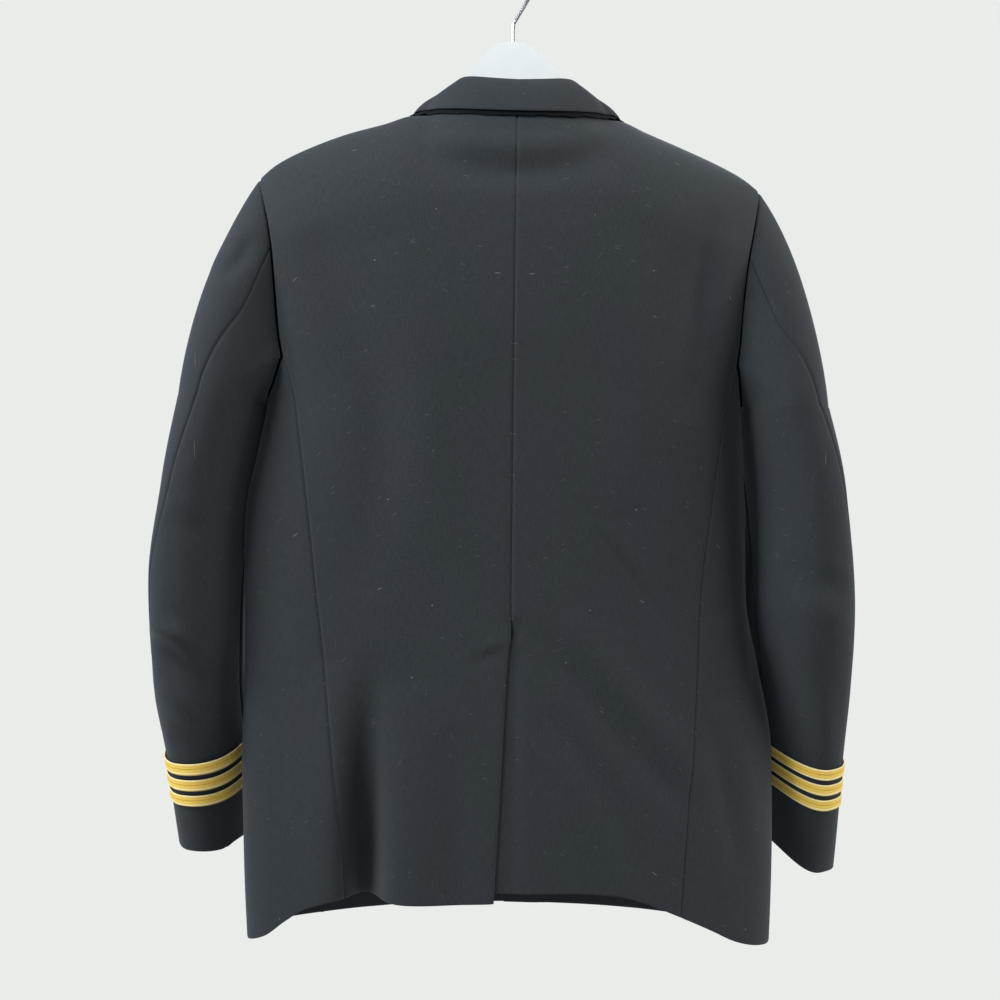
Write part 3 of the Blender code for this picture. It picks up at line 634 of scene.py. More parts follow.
def hang(points):
    """The jacket sits a little tilted on its hanger and leans as it hangs."""
    out = np.array(points, float)
    x, z = out[..., 0].copy(), out[..., 2].copy()
    tilt = np.interp(z, (-0.95, -0.25), (0.0116, 0.0240))
    out[..., 0] = x + 0.0036 + 0.0105 * (z + 0.18)
    out[..., 2] = z - x * tilt
    return out


print("half the chest is", float(read(BODY, "left", -0.42)).__round__(3), "m wide")

# %% [markdown]
# ## Creases
# Cloth that hangs from the shoulders makes a few long soft folds, and those are what the eye reads as
# cloth, so each is placed one by one: a route on the jacket in metres, how wide it is and how far it
# stands out, with a trough as a negative height. Every fold fades at its ends. Those behind act only
# on cloth that faces backwards and those in front only on cloth that faces forwards. A low uneven
# swell goes over everything, because no pressed panel is quite flat.

# %% the folds
REAR_FOLDS = (
    # a smile of cloth below the collar: a ridge, and the hollow beneath it
    (0.013, 0.0036,
     ((-0.100, -0.186), (-0.055, -0.203), (0.002, -0.2085), (0.058, -0.203), (0.104, -0.186))),
    (0.014, -0.0039,
     ((-0.092, -0.215), (-0.045, -0.229), (0.002, -0.234), (0.050, -0.229), (0.100, -0.214))),
    (0.0050, -0.0021, ((-0.094, -0.188), (-0.074, -0.1905), (-0.055, -0.188))),
    # from the shoulder blades down to the waist
    (0.026, -0.0057, ((-0.198, -0.285), (-0.150, -0.400), (-0.128, -0.470), (-0.140, -0.640))),
    (0.030, 0.0033, ((-0.120, -0.300), (-0.080, -0.440), (-0.075, -0.600))),
    (0.014, -0.0051, ((0.192, -0.262), (0.178, -0.350), (0.163, -0.470))),
    (0.010, 0.0030, ((0.204, -0.285), (0.197, -0.340), (0.188, -0.400))),
    (0.026, 0.0027, ((0.110, -0.300), (0.120, -0.430), (0.105, -0.560))),
    # a pressed-in crease at the right of the waist, and its lit lip
    (0.0040, -0.0016, ((0.079, -0.572), (0.104, -0.606), (0.130, -0.643))),
    (0.0060, 0.0010, ((0.087, -0.568), (0.112, -0.602), (0.138, -0.639))),
    # soft drag lines from the top of the vent towards the right hem
    (0.015, -0.0033, ((0.020, -0.665), (0.090, -0.752), (0.172, -0.850))),
    (0.016, 0.0027, ((0.045, -0.655), (0.115, -0.738), (0.190, -0.826))),
    (0.013, -0.0021, ((0.030, -0.745), (0.085, -0.820), (0.120, -0.900))),
    # the left back sinks towards the one deep fold in its hem
    (0.016, -0.0051, ((-0.137, -0.690), (-0.134, -0.780), (-0.138, -0.960))),
    (0.020, 0.0045, ((-0.168, -0.700), (-0.172, -0.810), (-0.180, -0.960))),
    (0.022, 0.0045, ((-0.098, -0.720), (-0.094, -0.820), (-0.092, -0.960))),
    (0.016, -0.0024, ((-0.060, -0.760), (-0.052, -0.860), (-0.050, -0.960))),
    # a small pull where the vent starts
    (0.0050, 0.0015, ((-0.034, -0.690), (-0.020, -0.682), (-0.006, -0.680))),
    (0.0060, -0.0015, ((-0.040, -0.703), (-0.022, -0.694), (-0.008, -0.692))),
    # side panels
    (0.020, -0.0022, ((-0.222, -0.700), (-0.226, -0.820), (-0.214, -0.950))),
    (0.010, -0.0033, ((0.190, -0.755), (0.205, -0.830), (0.216, -0.905))),
    (0.012, 0.0024, ((0.210, -0.740), (0.226, -0.820), (0.236, -0.900))),
    # each sleeve turns sharply inwards along its inner side, which lies in shadow
    (0.0075, -0.0065,
     ((-0.252, -0.470), (-0.263, -0.570), (-0.271, -0.645), (-0.271, -0.730), (-0.266, -0.800))),
    (0.0060, 0.0020,
     ((-0.258, -0.480), (-0.266, -0.570), (-0.280, -0.645), (-0.286, -0.728), (-0.284, -0.780))),
    (0.0075, -0.0065,
     ((0.228, -0.480), (0.231, -0.560), (0.238, -0.610), (0.239, -0.650), (0.240, -0.770))),
    (0.0060, 0.0020,
     ((0.240, -0.500), (0.250, -0.565), (0.255, -0.615), (0.252, -0.650), (0.250, -0.740))),
    # left sleeve: a dimple at the back of the cap, then the elbow's bump and hollow
    (0.0080, -0.0036, ((-0.282, -0.335), (-0.264, -0.314), (-0.252, -0.290))),
    (0.0090, 0.0027, ((-0.296, -0.322), (-0.276, -0.300), (-0.262, -0.278))),
    (0.0090, 0.0060, ((-0.352, -0.664), (-0.332, -0.671), (-0.306, -0.682))),
    (0.012, -0.0085, ((-0.350, -0.688), (-0.322, -0.703), (-0.286, -0.734))),
    (0.013, 0.0045, ((-0.345, -0.728), (-0.318, -0.748), (-0.290, -0.772))),
    (0.010, -0.0024, ((-0.333, -0.770), (-0.312, -0.784), (-0.294, -0.800))),
    (0.012, -0.0027, ((-0.330, -0.560), (-0.300, -0.575), (-0.272, -0.560))),
    # right sleeve: a dimple, a long soft crease along the forearm, the elbow
    (0.0080, -0.0030, ((0.228, -0.338), (0.240, -0.356), (0.250, -0.385))),
    (0.0090, -0.0045, ((0.246, -0.650), (0.256, -0.705), (0.274, -0.760), (0.286, -0.812))),
    (0.013, 0.0039, ((0.275, -0.640), (0.285, -0.700), (0.300, -0.760), (0.306, -0.805))),
    (0.012, -0.0030, ((0.262, -0.600), (0.285, -0.622), (0.318, -0.628))),
    (0.012, 0.0024, ((0.262, -0.632), (0.285, -0.650), (0.322, -0.655))),
)
FRONT_FOLDS = (
    # chest drape from each shoulder, uneven from side to side
    (0.024, -0.0051, ((-0.190, -0.270), (-0.165, -0.370), (-0.150, -0.480))),
    (0.022, -0.0045, ((0.185, -0.275), (0.158, -0.380), (0.130, -0.500))),
    (0.020, 0.0033, ((-0.205, -0.330), (-0.190, -0.430), (-0.180, -0.540))),
    # pulls that run to the fastened top button
    (0.0080, -0.0021, ((0.014, -0.505), (0.060, -0.522), (0.120, -0.570))),
    (0.0080, -0.0018, ((-0.026, -0.506), (-0.070, -0.530), (-0.110, -0.560))),
    # skirts
    (0.020, -0.0048, ((0.090, -0.720), (0.104, -0.840), (0.112, -0.980))),
    (0.024, 0.0039, ((0.150, -0.700), (0.164, -0.830), (0.170, -0.980))),
    (0.022, -0.0045, ((-0.120, -0.740), (-0.132, -0.860), (-0.138, -0.990))),
    (0.020, 0.0033, ((-0.070, -0.700), (-0.074, -0.830), (-0.078, -0.980))),
    # inner bends of both elbows
    (0.010, -0.0054, ((-0.345, -0.640), (-0.315, -0.628), (-0.285, -0.634))),
    (0.011, 0.0039, ((-0.345, -0.664), (-0.315, -0.652), (-0.285, -0.660))),
    (0.010, -0.0048, ((0.322, -0.636), (0.290, -0.625), (0.262, -0.632))),
    (0.012, -0.0036, ((0.320, -0.690), (0.294, -0.706), (0.268, -0.700))),
)


def bend(points, samples=28):
    """A smooth route through a few points."""
    points = np.array(points, float)
    knots = np.concatenate([[2 * points[0] - points[1]], points, [2 * points[-1] - points[-2]]])
    t = np.linspace(0, len(points) - 1, samples)
    index = np.minimum(t.astype(int), len(points) - 2)
    t = (t - index)[:, None]
    a, b, c, d = (knots[index + step] for step in range(4))
    square = (2 * a - 5 * b + 4 * c - d) * t * t
    return 0.5 * (2 * b + (c - a) * t + square + (3 * b - a - 3 * c + d) * t * t * t)


def fold_height(points, folds):
    """How far the folds lift each point, from its place seen square on."""
    flat = points.reshape(-1, 3)[:, (0, 2)]
    total = np.zeros(len(flat))
    for width, height, route in folds:
        line = bend(route)
        start, leg = line[:-1], np.diff(line, axis=0)
        away = flat[:, None] - start
        share = np.clip((away * leg).sum(-1) / (leg * leg).sum(-1), 0, 1)
        distance = np.linalg.norm(away - share[..., None] * leg, axis=-1)
        nearest = distance.argmin(axis=1)
        row = np.arange(len(flat))
        along = (nearest + share[row, nearest]) / len(leg)
        fade = np.clip(np.sin(math.pi * np.clip(along, 0.0, 1.0)), 0, 1) ** 0.6
        total += height * fade * np.exp(-((distance[row, nearest] / width) ** 2))
    return total.reshape(points.shape[:-1])


SWELL_HEIGHT = 0.00022
rng = np.random.default_rng(7)
SWELLS = [(rng.normal(0, 1, 3) / rng.uniform(0.035, 0.085), rng.uniform(0, 6.28)) for _ in range(14)]


def swell(points):
    """Low uneven waves, mostly within a millimetre."""
    waves = [np.sin(points @ direction + phase) for direction, phase in SWELLS]
    return SWELL_HEIGHT * np.sum(waves, axis=0)


print(len(REAR_FOLDS), "folds behind and", len(FRONT_FOLDS), "in front")

# %% [markdown]
# ## From a grid of points to a shell of cloth
# Each piece is a grid of points on its wall's outer face. The shell moves those points by the folds,
# sinks every sewn edge into its seam, rounds every free edge, and adds an inner face one cloth
# thickness behind, so that hems and cuffs show a real edge. Rows and columns lie close together only
# near the edges, where the shape turns quickly. The grid's own lengths become the UV map.

# %% spacing and shells
PITCH = 0.0046
NEAR_EDGE = (0.0, 0.0005, 0.0012, 0.0022, 0.0036, 0.0058)
HEM_TURN = 0.036
HEM_THICK = 0.0009
EDGE_ROUND = 0.0007
SEAM_SINK = 0.0013
SEAM_REACH = 0.0016


def spaced(length, pitch=PITCH):
    """Shares from 0 to 1 of a length, close together at both ends."""
    near = np.array(NEAR_EDGE)
    count = max(int(math.ceil((length - 2 * near[-1]) / pitch)), 2)
    middle = np.linspace(near[-1], length - near[-1], count + 1)[1:-1]
    return np.concatenate([near, middle, length - near[::-1]]) / length


def grid_normals(grid, ring):
    """Unit normals of a grid; ring says that its columns close."""
    if ring:
        across = np.roll(grid, -1, axis=1) - np.roll(grid, 1, axis=1)
    else:
        across = np.gradient(grid, axis=1)
    normal = np.cross(across, np.gradient(grid, axis=0))
    return normal / np.maximum(np.linalg.norm(normal, axis=-1, keepdims=True), 1e-12)


def travelled(grid, axis):
    """Length from the first row or column to each point of a grid."""
    steps = np.linalg.norm(np.diff(grid, axis=axis), axis=-1)
    lengths = np.cumsum(steps, axis=axis)
    pad = [(0, 0), (0, 0)]
    pad[axis] = (1, 0)
    return np.pad(lengths, pad)


def link_mesh(name, points, faces, uvs, finish, sharp=50.0):
    """A smooth object from points, four-cornered faces and one UV for each point."""
    mesh = bpy.data.meshes.new(name)
    mesh.from_pydata(points.tolist(), [], faces.tolist())
    mesh.validate()
    corner = np.empty(len(mesh.loops), np.int32)
    mesh.loops.foreach_get("vertex_index", corner)
    mesh.uv_layers.new(name="grain")
    mesh.uv_layers["grain"].data.foreach_set("uv", uvs[corner].astype(np.float32).reshape(-1))
    mesh.materials.append(finish)
    mesh.shade_smooth()
    mesh.set_sharp_from_angle(angle=math.radians(sharp))
    obj = bpy.data.objects.new(name, mesh)
    scene.collection.objects.link(obj)
    return obj


def quads(rows, columns, ring, offset=0, turned=False):
    """Faces over a grid of point numbers."""
    numbers = np.arange(rows * columns).reshape(rows, columns) + offset
    if ring:
        numbers = np.concatenate([numbers, numbers[:, :1]], axis=1)
    corners = (numbers[:-1, :-1], numbers[1:, :-1], numbers[1:, 1:], numbers[:-1, 1:])
    faces = np.stack(corners, axis=-1).reshape(-1, 4)
    return faces[:, ::-1] if turned else faces


def rims(rows, columns, ring):
    """Faces that close the edge between the outer and the inner grid."""
    outer = np.arange(rows * columns).reshape(rows, columns)
    inner = outer + rows * columns
    if ring:
        outer, inner = (np.concatenate([n, n[:, :1]], axis=1) for n in (outer, inner))
    strips = [(outer[0], inner[0], 1), (outer[-1], inner[-1], -1)]
    if not ring:
        strips += [(outer[:, 0], inner[:, 0], -1), (outer[:, -1], inner[:, -1], 1)]
    made = []
    for out, back, order in strips:
        made.append(np.stack([out[:-1], out[1:], back[1:], back[:-1]], axis=-1)[:, ::order])
    return np.concatenate(made)


def shell(name, grid, finish, thickness=CLOTH, flip=False, ring=False, free="", folded=True):
    """A piece of cloth on a grid.  free names the edges that aren't sewn: top, low, first, last."""
    normal = grid_normals(grid, ring) * (-1 if flip else 1)
    across, down = travelled(grid, 1), travelled(grid, 0)
    lift = np.zeros(grid.shape[:2])
    if folded:
        rear, fore = np.clip(-normal[..., 1], 0, 1) ** 0.7, np.clip(normal[..., 1], 0, 1) ** 0.7
        lift += rear * fold_height(grid, REAR_FOLDS) + fore * fold_height(grid, FRONT_FOLDS)
        lift += swell(grid)
    edges = {"top": down, "low": down[-1:] - down}
    if not ring:
        edges.update(first=across, last=across[:, -1:] - across)
    thick = np.full(grid.shape[:2], thickness)
    for edge, distance in edges.items():
        if edge in free.split():
            rounded = np.exp(-((distance / EDGE_ROUND) ** 2))
            lift -= 0.30 * thickness * rounded
            thick -= 0.60 * thickness * rounded
            if edge == "low" and folded:
                thick += HEM_THICK * (1 - ease(HEM_TURN - 0.001, HEM_TURN + 0.001, distance))
        else:
            lift -= SEAM_SINK * np.exp(-((distance / SEAM_REACH) ** 2))
    outer = grid + normal * lift[..., None]
    inner = outer - normal * thick[..., None]
    rows, columns = grid.shape[:2]
    faces = np.concatenate(
        [
            quads(rows, columns, ring),
            quads(rows, columns, ring, rows * columns, turned=True),
            rims(rows, columns, ring),
        ]
    )
    if flip:
        faces = faces[:, ::-1]
    uv = np.stack([across, down], axis=-1).reshape(-1, 2)
    points = np.concatenate([outer.reshape(-1, 3), inner.reshape(-1, 3)])
    obj = link_mesh(name, points, faces, np.concatenate([uv, uv]), finish)
    cells = np.cross(np.diff(grid[:-1], axis=1), np.diff(grid[:, :-1], axis=0))
    area = round(float(np.linalg.norm(cells, axis=-1).sum()), 4)
    size = (round(float(across[:, -1].max()), 3), round(float(down[-1].max()), 3))
    print(name, "measures", size, "m, area", area, "m2,", len(faces), "faces")
    return obj


print("a hem is turned up", HEM_TURN, "m")

# %% [markdown]
# ## Joining the pieces to the frame
# Every shell stands for one wall: it rides on the jacket's only body, and the wall it stands for is
# hidden.

# %% joining
def join_frame(obj, node, slot, held, rests_on, flat=None, area=None):
    """obj stands for a node of the frame; flat and area, its cut in metres, are not used."""
    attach(obj, "root")
    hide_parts(node)


def sew(node, grid, held, rests_on, flat, area, **edges):
    """A worsted piece, from its grid to its place in the frame."""
    cloth = shell(node + "_cloth", hang(grid), WORSTED, **edges)
    join_frame(cloth, node, "worsted", held, rests_on, flat=flat, area=area)


# %% [markdown]
# ## The body's surface
# Seen from above, a hung jacket is a flattened oval, so a point of the body lies on a superellipse
# whose half width and depth follow the height. Over the shoulders the same surface turns up to a
# ridge, where the back and the front meet.


# %% surface of the body
def hem_fold(x, z):
    """The one deep fold, pressed inwards at the left of the back hem."""
    return FOLD_DEEP * ease(-0.700, -0.930, z) * np.exp(-(((x + 0.140) / FOLD_WIDE) ** 2))


def body_depth(side, out, z, face):
    """Depth of the body's flattened section at a distance out from the middle."""
    half = read(BODY, side_name(side), z)
    deep = read(BODY, "back" if face < 0 else "front", z)
    share = np.clip(np.abs(out) / half, 0, 1)
    y = face * deep * (1 - share**ROUND) ** (1 / ROUND)
    return y + hem_fold(side * out, z) * (face < 0)


def around(name, z, share):
    """Distance out, depth and angle on the oval, from the back's edge (0) to the front's (1)."""
    half = read(BODY, name, z)
    ends = (BACK_EDGE, FRONT_EDGE)
    start, stop = (np.arccos((read(end, name, z) / half) ** (ROUND / 2)) for end in ends)
    angle = -start + (start + stop) * share
    deep = np.where(angle < 0, read(BODY, "back", z), read(BODY, "front", z))
    y = np.sign(angle) * deep * np.abs(np.sin(angle)) ** (2 / ROUND)
    return half * np.cos(angle) ** (2 / ROUND), y, angle


def top_edge(side, out):
    """Depth and height of the neck and shoulder seams at a distance out."""
    reach = read(BACK_EDGE, side_name(side), ARMHOLE_TOP)
    along = np.clip((out - NECK_HALF) / (reach - NECK_HALF), 0, 1)
    in_neck = out < NECK_HALF
    depth = np.where(in_neck, read(NECK, "depth", out), 0.0)
    ridge = read(SHOULDER, side_name(side), along)
    return depth, np.where(in_neck, read(NECK, "height", out), ridge)


def yoke(side, out, turn, face):
    """The surface over the shoulder: turn 0 at the seam, 90 on the flat panel."""
    depth, ridge = top_edge(side, out)
    depth = depth if face < 0 else np.zeros_like(depth)
    turn = np.radians(turn)
    z = ridge - SHOULDER_DROP * (1 - np.cos(turn))
    flat = body_depth(side, out, z, face)
    y = depth + (flat - depth) * np.sin(turn)
    return np.stack([side * out, y, z], axis=-1)


SHOULDER_TURNS = np.concatenate([[0.0, 0.3, 0.8, 1.6], np.linspace(3.0, 90, 30)])


def panel_rows(ridge, hem):
    """Heights of a panel's rows and how far each has turned down the shoulder."""
    over = ridge - SHOULDER_DROP * (1 - np.cos(np.radians(SHOULDER_TURNS)))[:, None]
    length = float((over[-1] - hem).max())
    below = spaced(length)[len(NEAR_EDGE) :][:, None]
    rows = np.concatenate([over, over[-1] + (hem - over[-1]) * below])
    blend = np.concatenate([np.sin(np.radians(SHOULDER_TURNS)), np.ones(len(below))])
    return rows, blend[:, None]


print("the shoulders drop", SHOULDER_DROP, "m from ridge to panel")

# %% [markdown]
# ## Back panels
# Two back panels meet in the centre seam. Below the seam it opens as a vent: the left panel runs on
# to a pressed edge, and the right one has an extension that lies under it. That step is modelled, so
# the vent's edge casts a true shadow.


# %% backs
def back_inner(side, z):
    """Inner edge of a back panel: centre seam, then vent edge or extension."""
    seam = np.where(z > VENT_TOP, read(CENTRE_BACK, "x", z), read(VENT_EDGE, "x", z))
    if side == LEFT:
        return side * seam - MEET
    return seam - MEET - UNDERLAP * ease(VENT_TOP, VENT_TOP - 0.024, z)


def back_panel(side):
    name = side_name(side)
    across = spaced(0.23)
    reach = read(BACK_EDGE, name, ARMHOLE_TOP)
    low_in, low_out = back_inner(side, HEM_LEVEL), read(BACK_EDGE, name, HEM_LEVEL)
    top_depth, ridge = top_edge(side, reach * across)
    hem = read(HEM_BACK, name, np.abs(low_in + (low_out - low_in) * across))
    z, blend = panel_rows(ridge, hem)
    inner = back_inner(side, z)
    outer = read(BACK_EDGE, name, z) + MEET
    out = inner + (outer - inner) * across
    y = top_depth + (body_depth(side, out, z, -1) - top_depth) * blend
    if side == RIGHT:
        under = ease(VENT_TOP + 0.022, VENT_TOP + 0.004, z) * ease(0.016, 0.002, out)
        y = y + VENT_STEP * under
    return np.stack([side * out, y, z], axis=-1)


for side in (LEFT, RIGHT):
    node = "back_" + side_name(side)
    sew(node, back_panel(side), "hung", ["hanger"], (0.29, 0.81), 0.164, flip=side == RIGHT, free="low")

# %% [markdown]
# ## Side panels
# A side panel joins each back to its front under the arm. It follows the oval round the jacket's
# narrow end, and its top is scooped for the bottom of the armhole.


# %% sides
def side_panel(side):
    name = side_name(side)
    across = spaced(0.17)
    dip = np.clip(np.sin(np.pi * across), 0, 1)
    top = SIDE_TOP + (ARMHOLE_LOW - SIDE_TOP) * dip
    low, _, angle = around(name, np.full_like(across, HEM_LEVEL), across)
    hem = np.where(angle < 0, read(HEM_BACK, name, low), read(HEM_FRONT, name, low))
    z = top + (hem - top) * spaced(0.52)[:, None]
    out, y, angle = around(name, z, across)
    y = y + hem_fold(side * out, z) * (angle < 0)
    return np.stack([side * out, y, z], axis=-1)


for side in (LEFT, RIGHT):
    node = "side_" + side_name(side)
    sewn_to = ["back_" + side_name(side) + "_cloth"]
    sew(node, side_panel(side), "hung", sewn_to, (0.25, 0.575), 0.104, flip=side == RIGHT, free="low")

# %% [markdown]
# ## Fronts and lapels
# Nobody sees the fronts from behind but for their lower inside, so they are plain: a left front over
# a right one, fastened by three buttons, and lapels that roll over from the front edge. The roll is
# rounded and the lapel lies a little off the front, as a pressed lapel does.


# %% fronts
LAPEL_OFF = 0.0013
LAPEL_ROLL = 0.0035


def front_step(side, out):
    """The right front passes under the left one near the middle."""
    return FRONT_STEP * ease(0.045, 0.022, out) * (side == RIGHT)


def front_panel(side):
    name = side_name(side)
    across = spaced(0.21)
    reach = read(FRONT_EDGE, name, ARMHOLE_TOP)
    _, ridge = top_edge(side, NECK_HALF + (reach - NECK_HALF) * across)
    hem = read(HEM_FRONT, name, read(FRONT_EDGE, name, HEM_LEVEL) * across)
    z, blend = panel_rows(ridge, hem)
    inner = read(FRONT_INNER, "out", z)
    outer = read(FRONT_EDGE, name, z) + MEET
    out = inner + (outer - inner) * across
    y = body_depth(side, out, z, 1) * blend
    y = y - front_step(side, out)
    return np.stack([side * out, y, z], axis=-1)


def lapel(side):
    across = spaced(0.10)
    z = LAPEL_TOP + (BREAK - LAPEL_TOP) * spaced(0.23)[:, None]
    inner = read(FRONT_INNER, "out", z)
    outer = read(LAPEL_EDGE, "out", z)
    out = inner + (outer - inner) * across
    roll_over = 0.0030 * np.exp(-((across * (outer - inner)) / 0.004) ** 2)
    lift = CLOTH + LAPEL_OFF + LAPEL_ROLL * (1 - across) ** 2 - roll_over
    y = body_depth(side, out, z, 1) - front_step(side, out) + lift
    return np.stack([side * out, y, z + 0 * out], axis=-1)


for side in (LEFT, RIGHT):
    node = "front_" + side_name(side)
    turned = {"flip": side == LEFT}
    sew(node, front_panel(side), "hung", ["hanger"], (0.235, 0.87), 0.169, free="low first", **turned)
    turned.update(free="top low first last", folded=False)
    lapel_node = "lapel_" + side_name(side)
    sew(lapel_node, lapel(side), "folded", [node + "_cloth"], (0.09, 0.285), 0.0166, **turned)

# %% [markdown]
# ## Sleeves
# Each sleeve is cut in two: a wide topsleeve and a narrower undersleeve, joined by a hind-arm seam
# that shows behind and a fore-arm seam that doesn't. The cap leaves the armhole in a smooth curve and
# becomes an oval section that narrows to the cuff and bends forward at the elbow.


# %% sleeve surface
def armhole(side, angle):
    """A point of the armhole's edge: 0 at the shoulder, 90 back, 180 under."""
    name = side_name(side)
    angle = np.asarray(angle, float) % 360
    behind = angle < 180
    middle, half = (ARMHOLE_TOP + ARMHOLE_LOW) / 2, (ARMHOLE_TOP - ARMHOLE_LOW) / 2
    z = middle + half * np.cos(np.radians(angle))
    edge_back, edge_front = read(BACK_EDGE, name, z), read(FRONT_EDGE, name, z)
    turn = np.arccos(np.clip(1 - (ARMHOLE_TOP - z) / SHOULDER_DROP, 0, 1))
    y_back = body_depth(side, edge_back, z, -1) * np.sin(turn)
    y_front = body_depth(side, edge_front, z, 1) * np.sin(turn)
    out = np.where(behind, edge_back, edge_front)
    y = np.where(behind, y_back, y_front)
    sunk = np.clip((SIDE_TOP - z) / (SIDE_TOP - ARMHOLE_LOW), 0, 1)
    share = np.arcsin(sunk) / np.pi
    share = np.where(behind, share, 1 - share)
    low_out, low_y, _ = around(name, z, share)
    out = np.where(z < SIDE_TOP, low_out, out)
    y = np.where(z < SIDE_TOP, low_y, y)
    return np.stack([out, y, z], axis=-1)


def sleeve_section(side, angle, height):
    """A point of a section below the cap, and the sleeve's direction there."""
    of = SLEEVES[side]
    step = 0.004
    middle = np.stack([read(of, "out", height), read(of, "depth", height), height], -1)
    ahead = np.stack(
        [
            read(of, "out", height - step) - read(of, "out", height + step),
            read(of, "depth", height - step) - read(of, "depth", height + step),
            np.full_like(height, -2 * step),
        ],
        axis=-1,
    )
    axis = ahead / np.linalg.norm(ahead, axis=-1, keepdims=True)
    outward = np.array([1.0, 0.0, 0.0]) - axis * axis[..., :1]
    outward /= np.linalg.norm(outward, axis=-1, keepdims=True)
    rear = np.cross(axis, outward)
    turn = np.radians(read(of, "turn", height))[..., None]
    long_out = np.cos(turn) * outward - np.sin(turn) * rear
    long_rear = np.sin(turn) * outward + np.cos(turn) * rear
    a = np.radians(angle)
    wide = read(of, "half_wide", height) * np.sign(np.cos(a)) * np.abs(np.cos(a)) ** 0.9
    deep = read(of, "half_deep", height) * np.sign(np.sin(a)) * np.abs(np.sin(a)) ** 0.9
    return middle + wide[..., None] * long_out + deep[..., None] * long_rear, axis


def cuff_rise(side, angle):
    """How far the cuff's edge rises at an angle, because a hung cuff isn't level."""
    outer, rear, inner, front = CUFF_RISE[side]
    c, s = np.cos(np.radians(angle)), np.sin(np.radians(angle))
    across = outer * np.maximum(c, 0) ** 2 + inner * np.maximum(-c, 0) ** 2
    return across + rear * np.maximum(s, 0) ** 2 + front * np.maximum(-s, 0) ** 2


def sleeve(side, angle, station):
    """A point of the sleeve: station 0 armhole, 1 upper arm, 2 cuff."""
    angle, station = np.broadcast_arrays(np.asarray(angle, float), station)
    heights = next(iter(SLEEVES[side].values()))
    below = np.clip(station - 1, 0, 1)
    drop = heights[0] + (heights[-1] - heights[0]) * below + cuff_rise(side, angle) * below**4
    low, axis = sleeve_section(side, angle, drop)
    top = armhole(side, angle)
    top[..., 0] -= MEET
    radial = np.sign(top[..., 1]) * np.minimum(np.abs(top[..., 1]) / 0.04, 1)
    leave = np.stack([np.full_like(radial, 0.52), 0.42 * radial, np.full_like(radial, -0.74)], -1)
    reach = np.linalg.norm(low - top, axis=-1, keepdims=True)
    t = np.clip(station, 0, 1)[..., None]
    point = np.where(t < 1, hermite(top, low, leave * reach, axis * reach, t), low)
    point[..., 0] *= side
    return point


def seam_angles(side, upper, share, stations):
    """Angles across the topsleeve (upper) or the undersleeve."""
    hind = read(SLEEVE_SEAMS, side_name(side), stations)
    fore = read(SLEEVE_SEAMS, "fore", stations)
    start, stop = (fore - 360, hind) if upper else (hind, fore)
    return start + (stop - start) * share


print("the left cuff's middle is at", sleeve(LEFT, np.arange(0, 360, 30), np.full(12, 2.0)).mean(0).round(3))

# %% sleeve pieces
SLEEVE_LENGTHS = {"cap": 0.22, "arm": 0.46}
SLEEVE_PARTS = (("topsleeve", True, 0.21, 0.128), ("undersleeve", False, 0.16, 0.073))


def sleeve_stations():
    """Stations from the armhole to the cuff, close together at both ends."""
    whole = SLEEVE_LENGTHS["cap"] + SLEEVE_LENGTHS["arm"]
    length = spaced(whole) * whole
    in_cap = length / SLEEVE_LENGTHS["cap"]
    in_arm = 1 + (length - SLEEVE_LENGTHS["cap"]) / SLEEVE_LENGTHS["arm"]
    return np.where(length < SLEEVE_LENGTHS["cap"], in_cap, in_arm)[:, None]


for side in (LEFT, RIGHT):
    name = side_name(side)
    for part, upper, wide, area in SLEEVE_PARTS:
        stations = sleeve_stations()
        grid = sleeve(side, seam_angles(side, upper, spaced(wide), stations), stations)
        rests = [f"back_{name}_cloth", f"front_{name}_cloth"]
        node = part + "_" + name
        sew(node, grid, "hung", rests, (wide + 0.09, 0.69), area, flip=side == LEFT, free="low")

# %% [markdown]
# ## Gold braid on the cuffs
# Three bands go round each cuff, sewn flat on the sleeve. Each is a closed ring that follows the
# sleeve's own surface, lifted off it. Across its width it has thick rolled edges and seven fine ribs,
# which catch the light as thin lines along the band.


# %% braid rings
def cuff_station(side, distance):
    """The station at a distance up the sleeve from its cuff."""
    stations = np.linspace(1, 2, 101)
    angles = np.arange(0, 360, 90)[:, None]
    middle = sleeve(side, angles, stations[None, :]).mean(axis=0)
    steps = np.linalg.norm(np.diff(middle, axis=0), axis=1)
    left = np.concatenate([[0], np.cumsum(steps[::-1])])[::-1]
    return float(np.interp(-distance, -left, stations))


BRAID_ROWS = 29
BRAID_RIBS = 7


def rib_height(share):
    """Ribs across the band, with a deeper line in the middle and rounded edges."""
    ribs = 0.00022 * np.abs(np.sin(math.pi * BRAID_RIBS * share))
    line = 0.00025 * np.exp(-(((share - 0.5) / 0.03) ** 2))
    edge = 0.0007 * (np.exp(-((share / 0.02) ** 2)) + np.exp(-(((1 - share) / 0.02) ** 2)))
    return ribs - line - edge


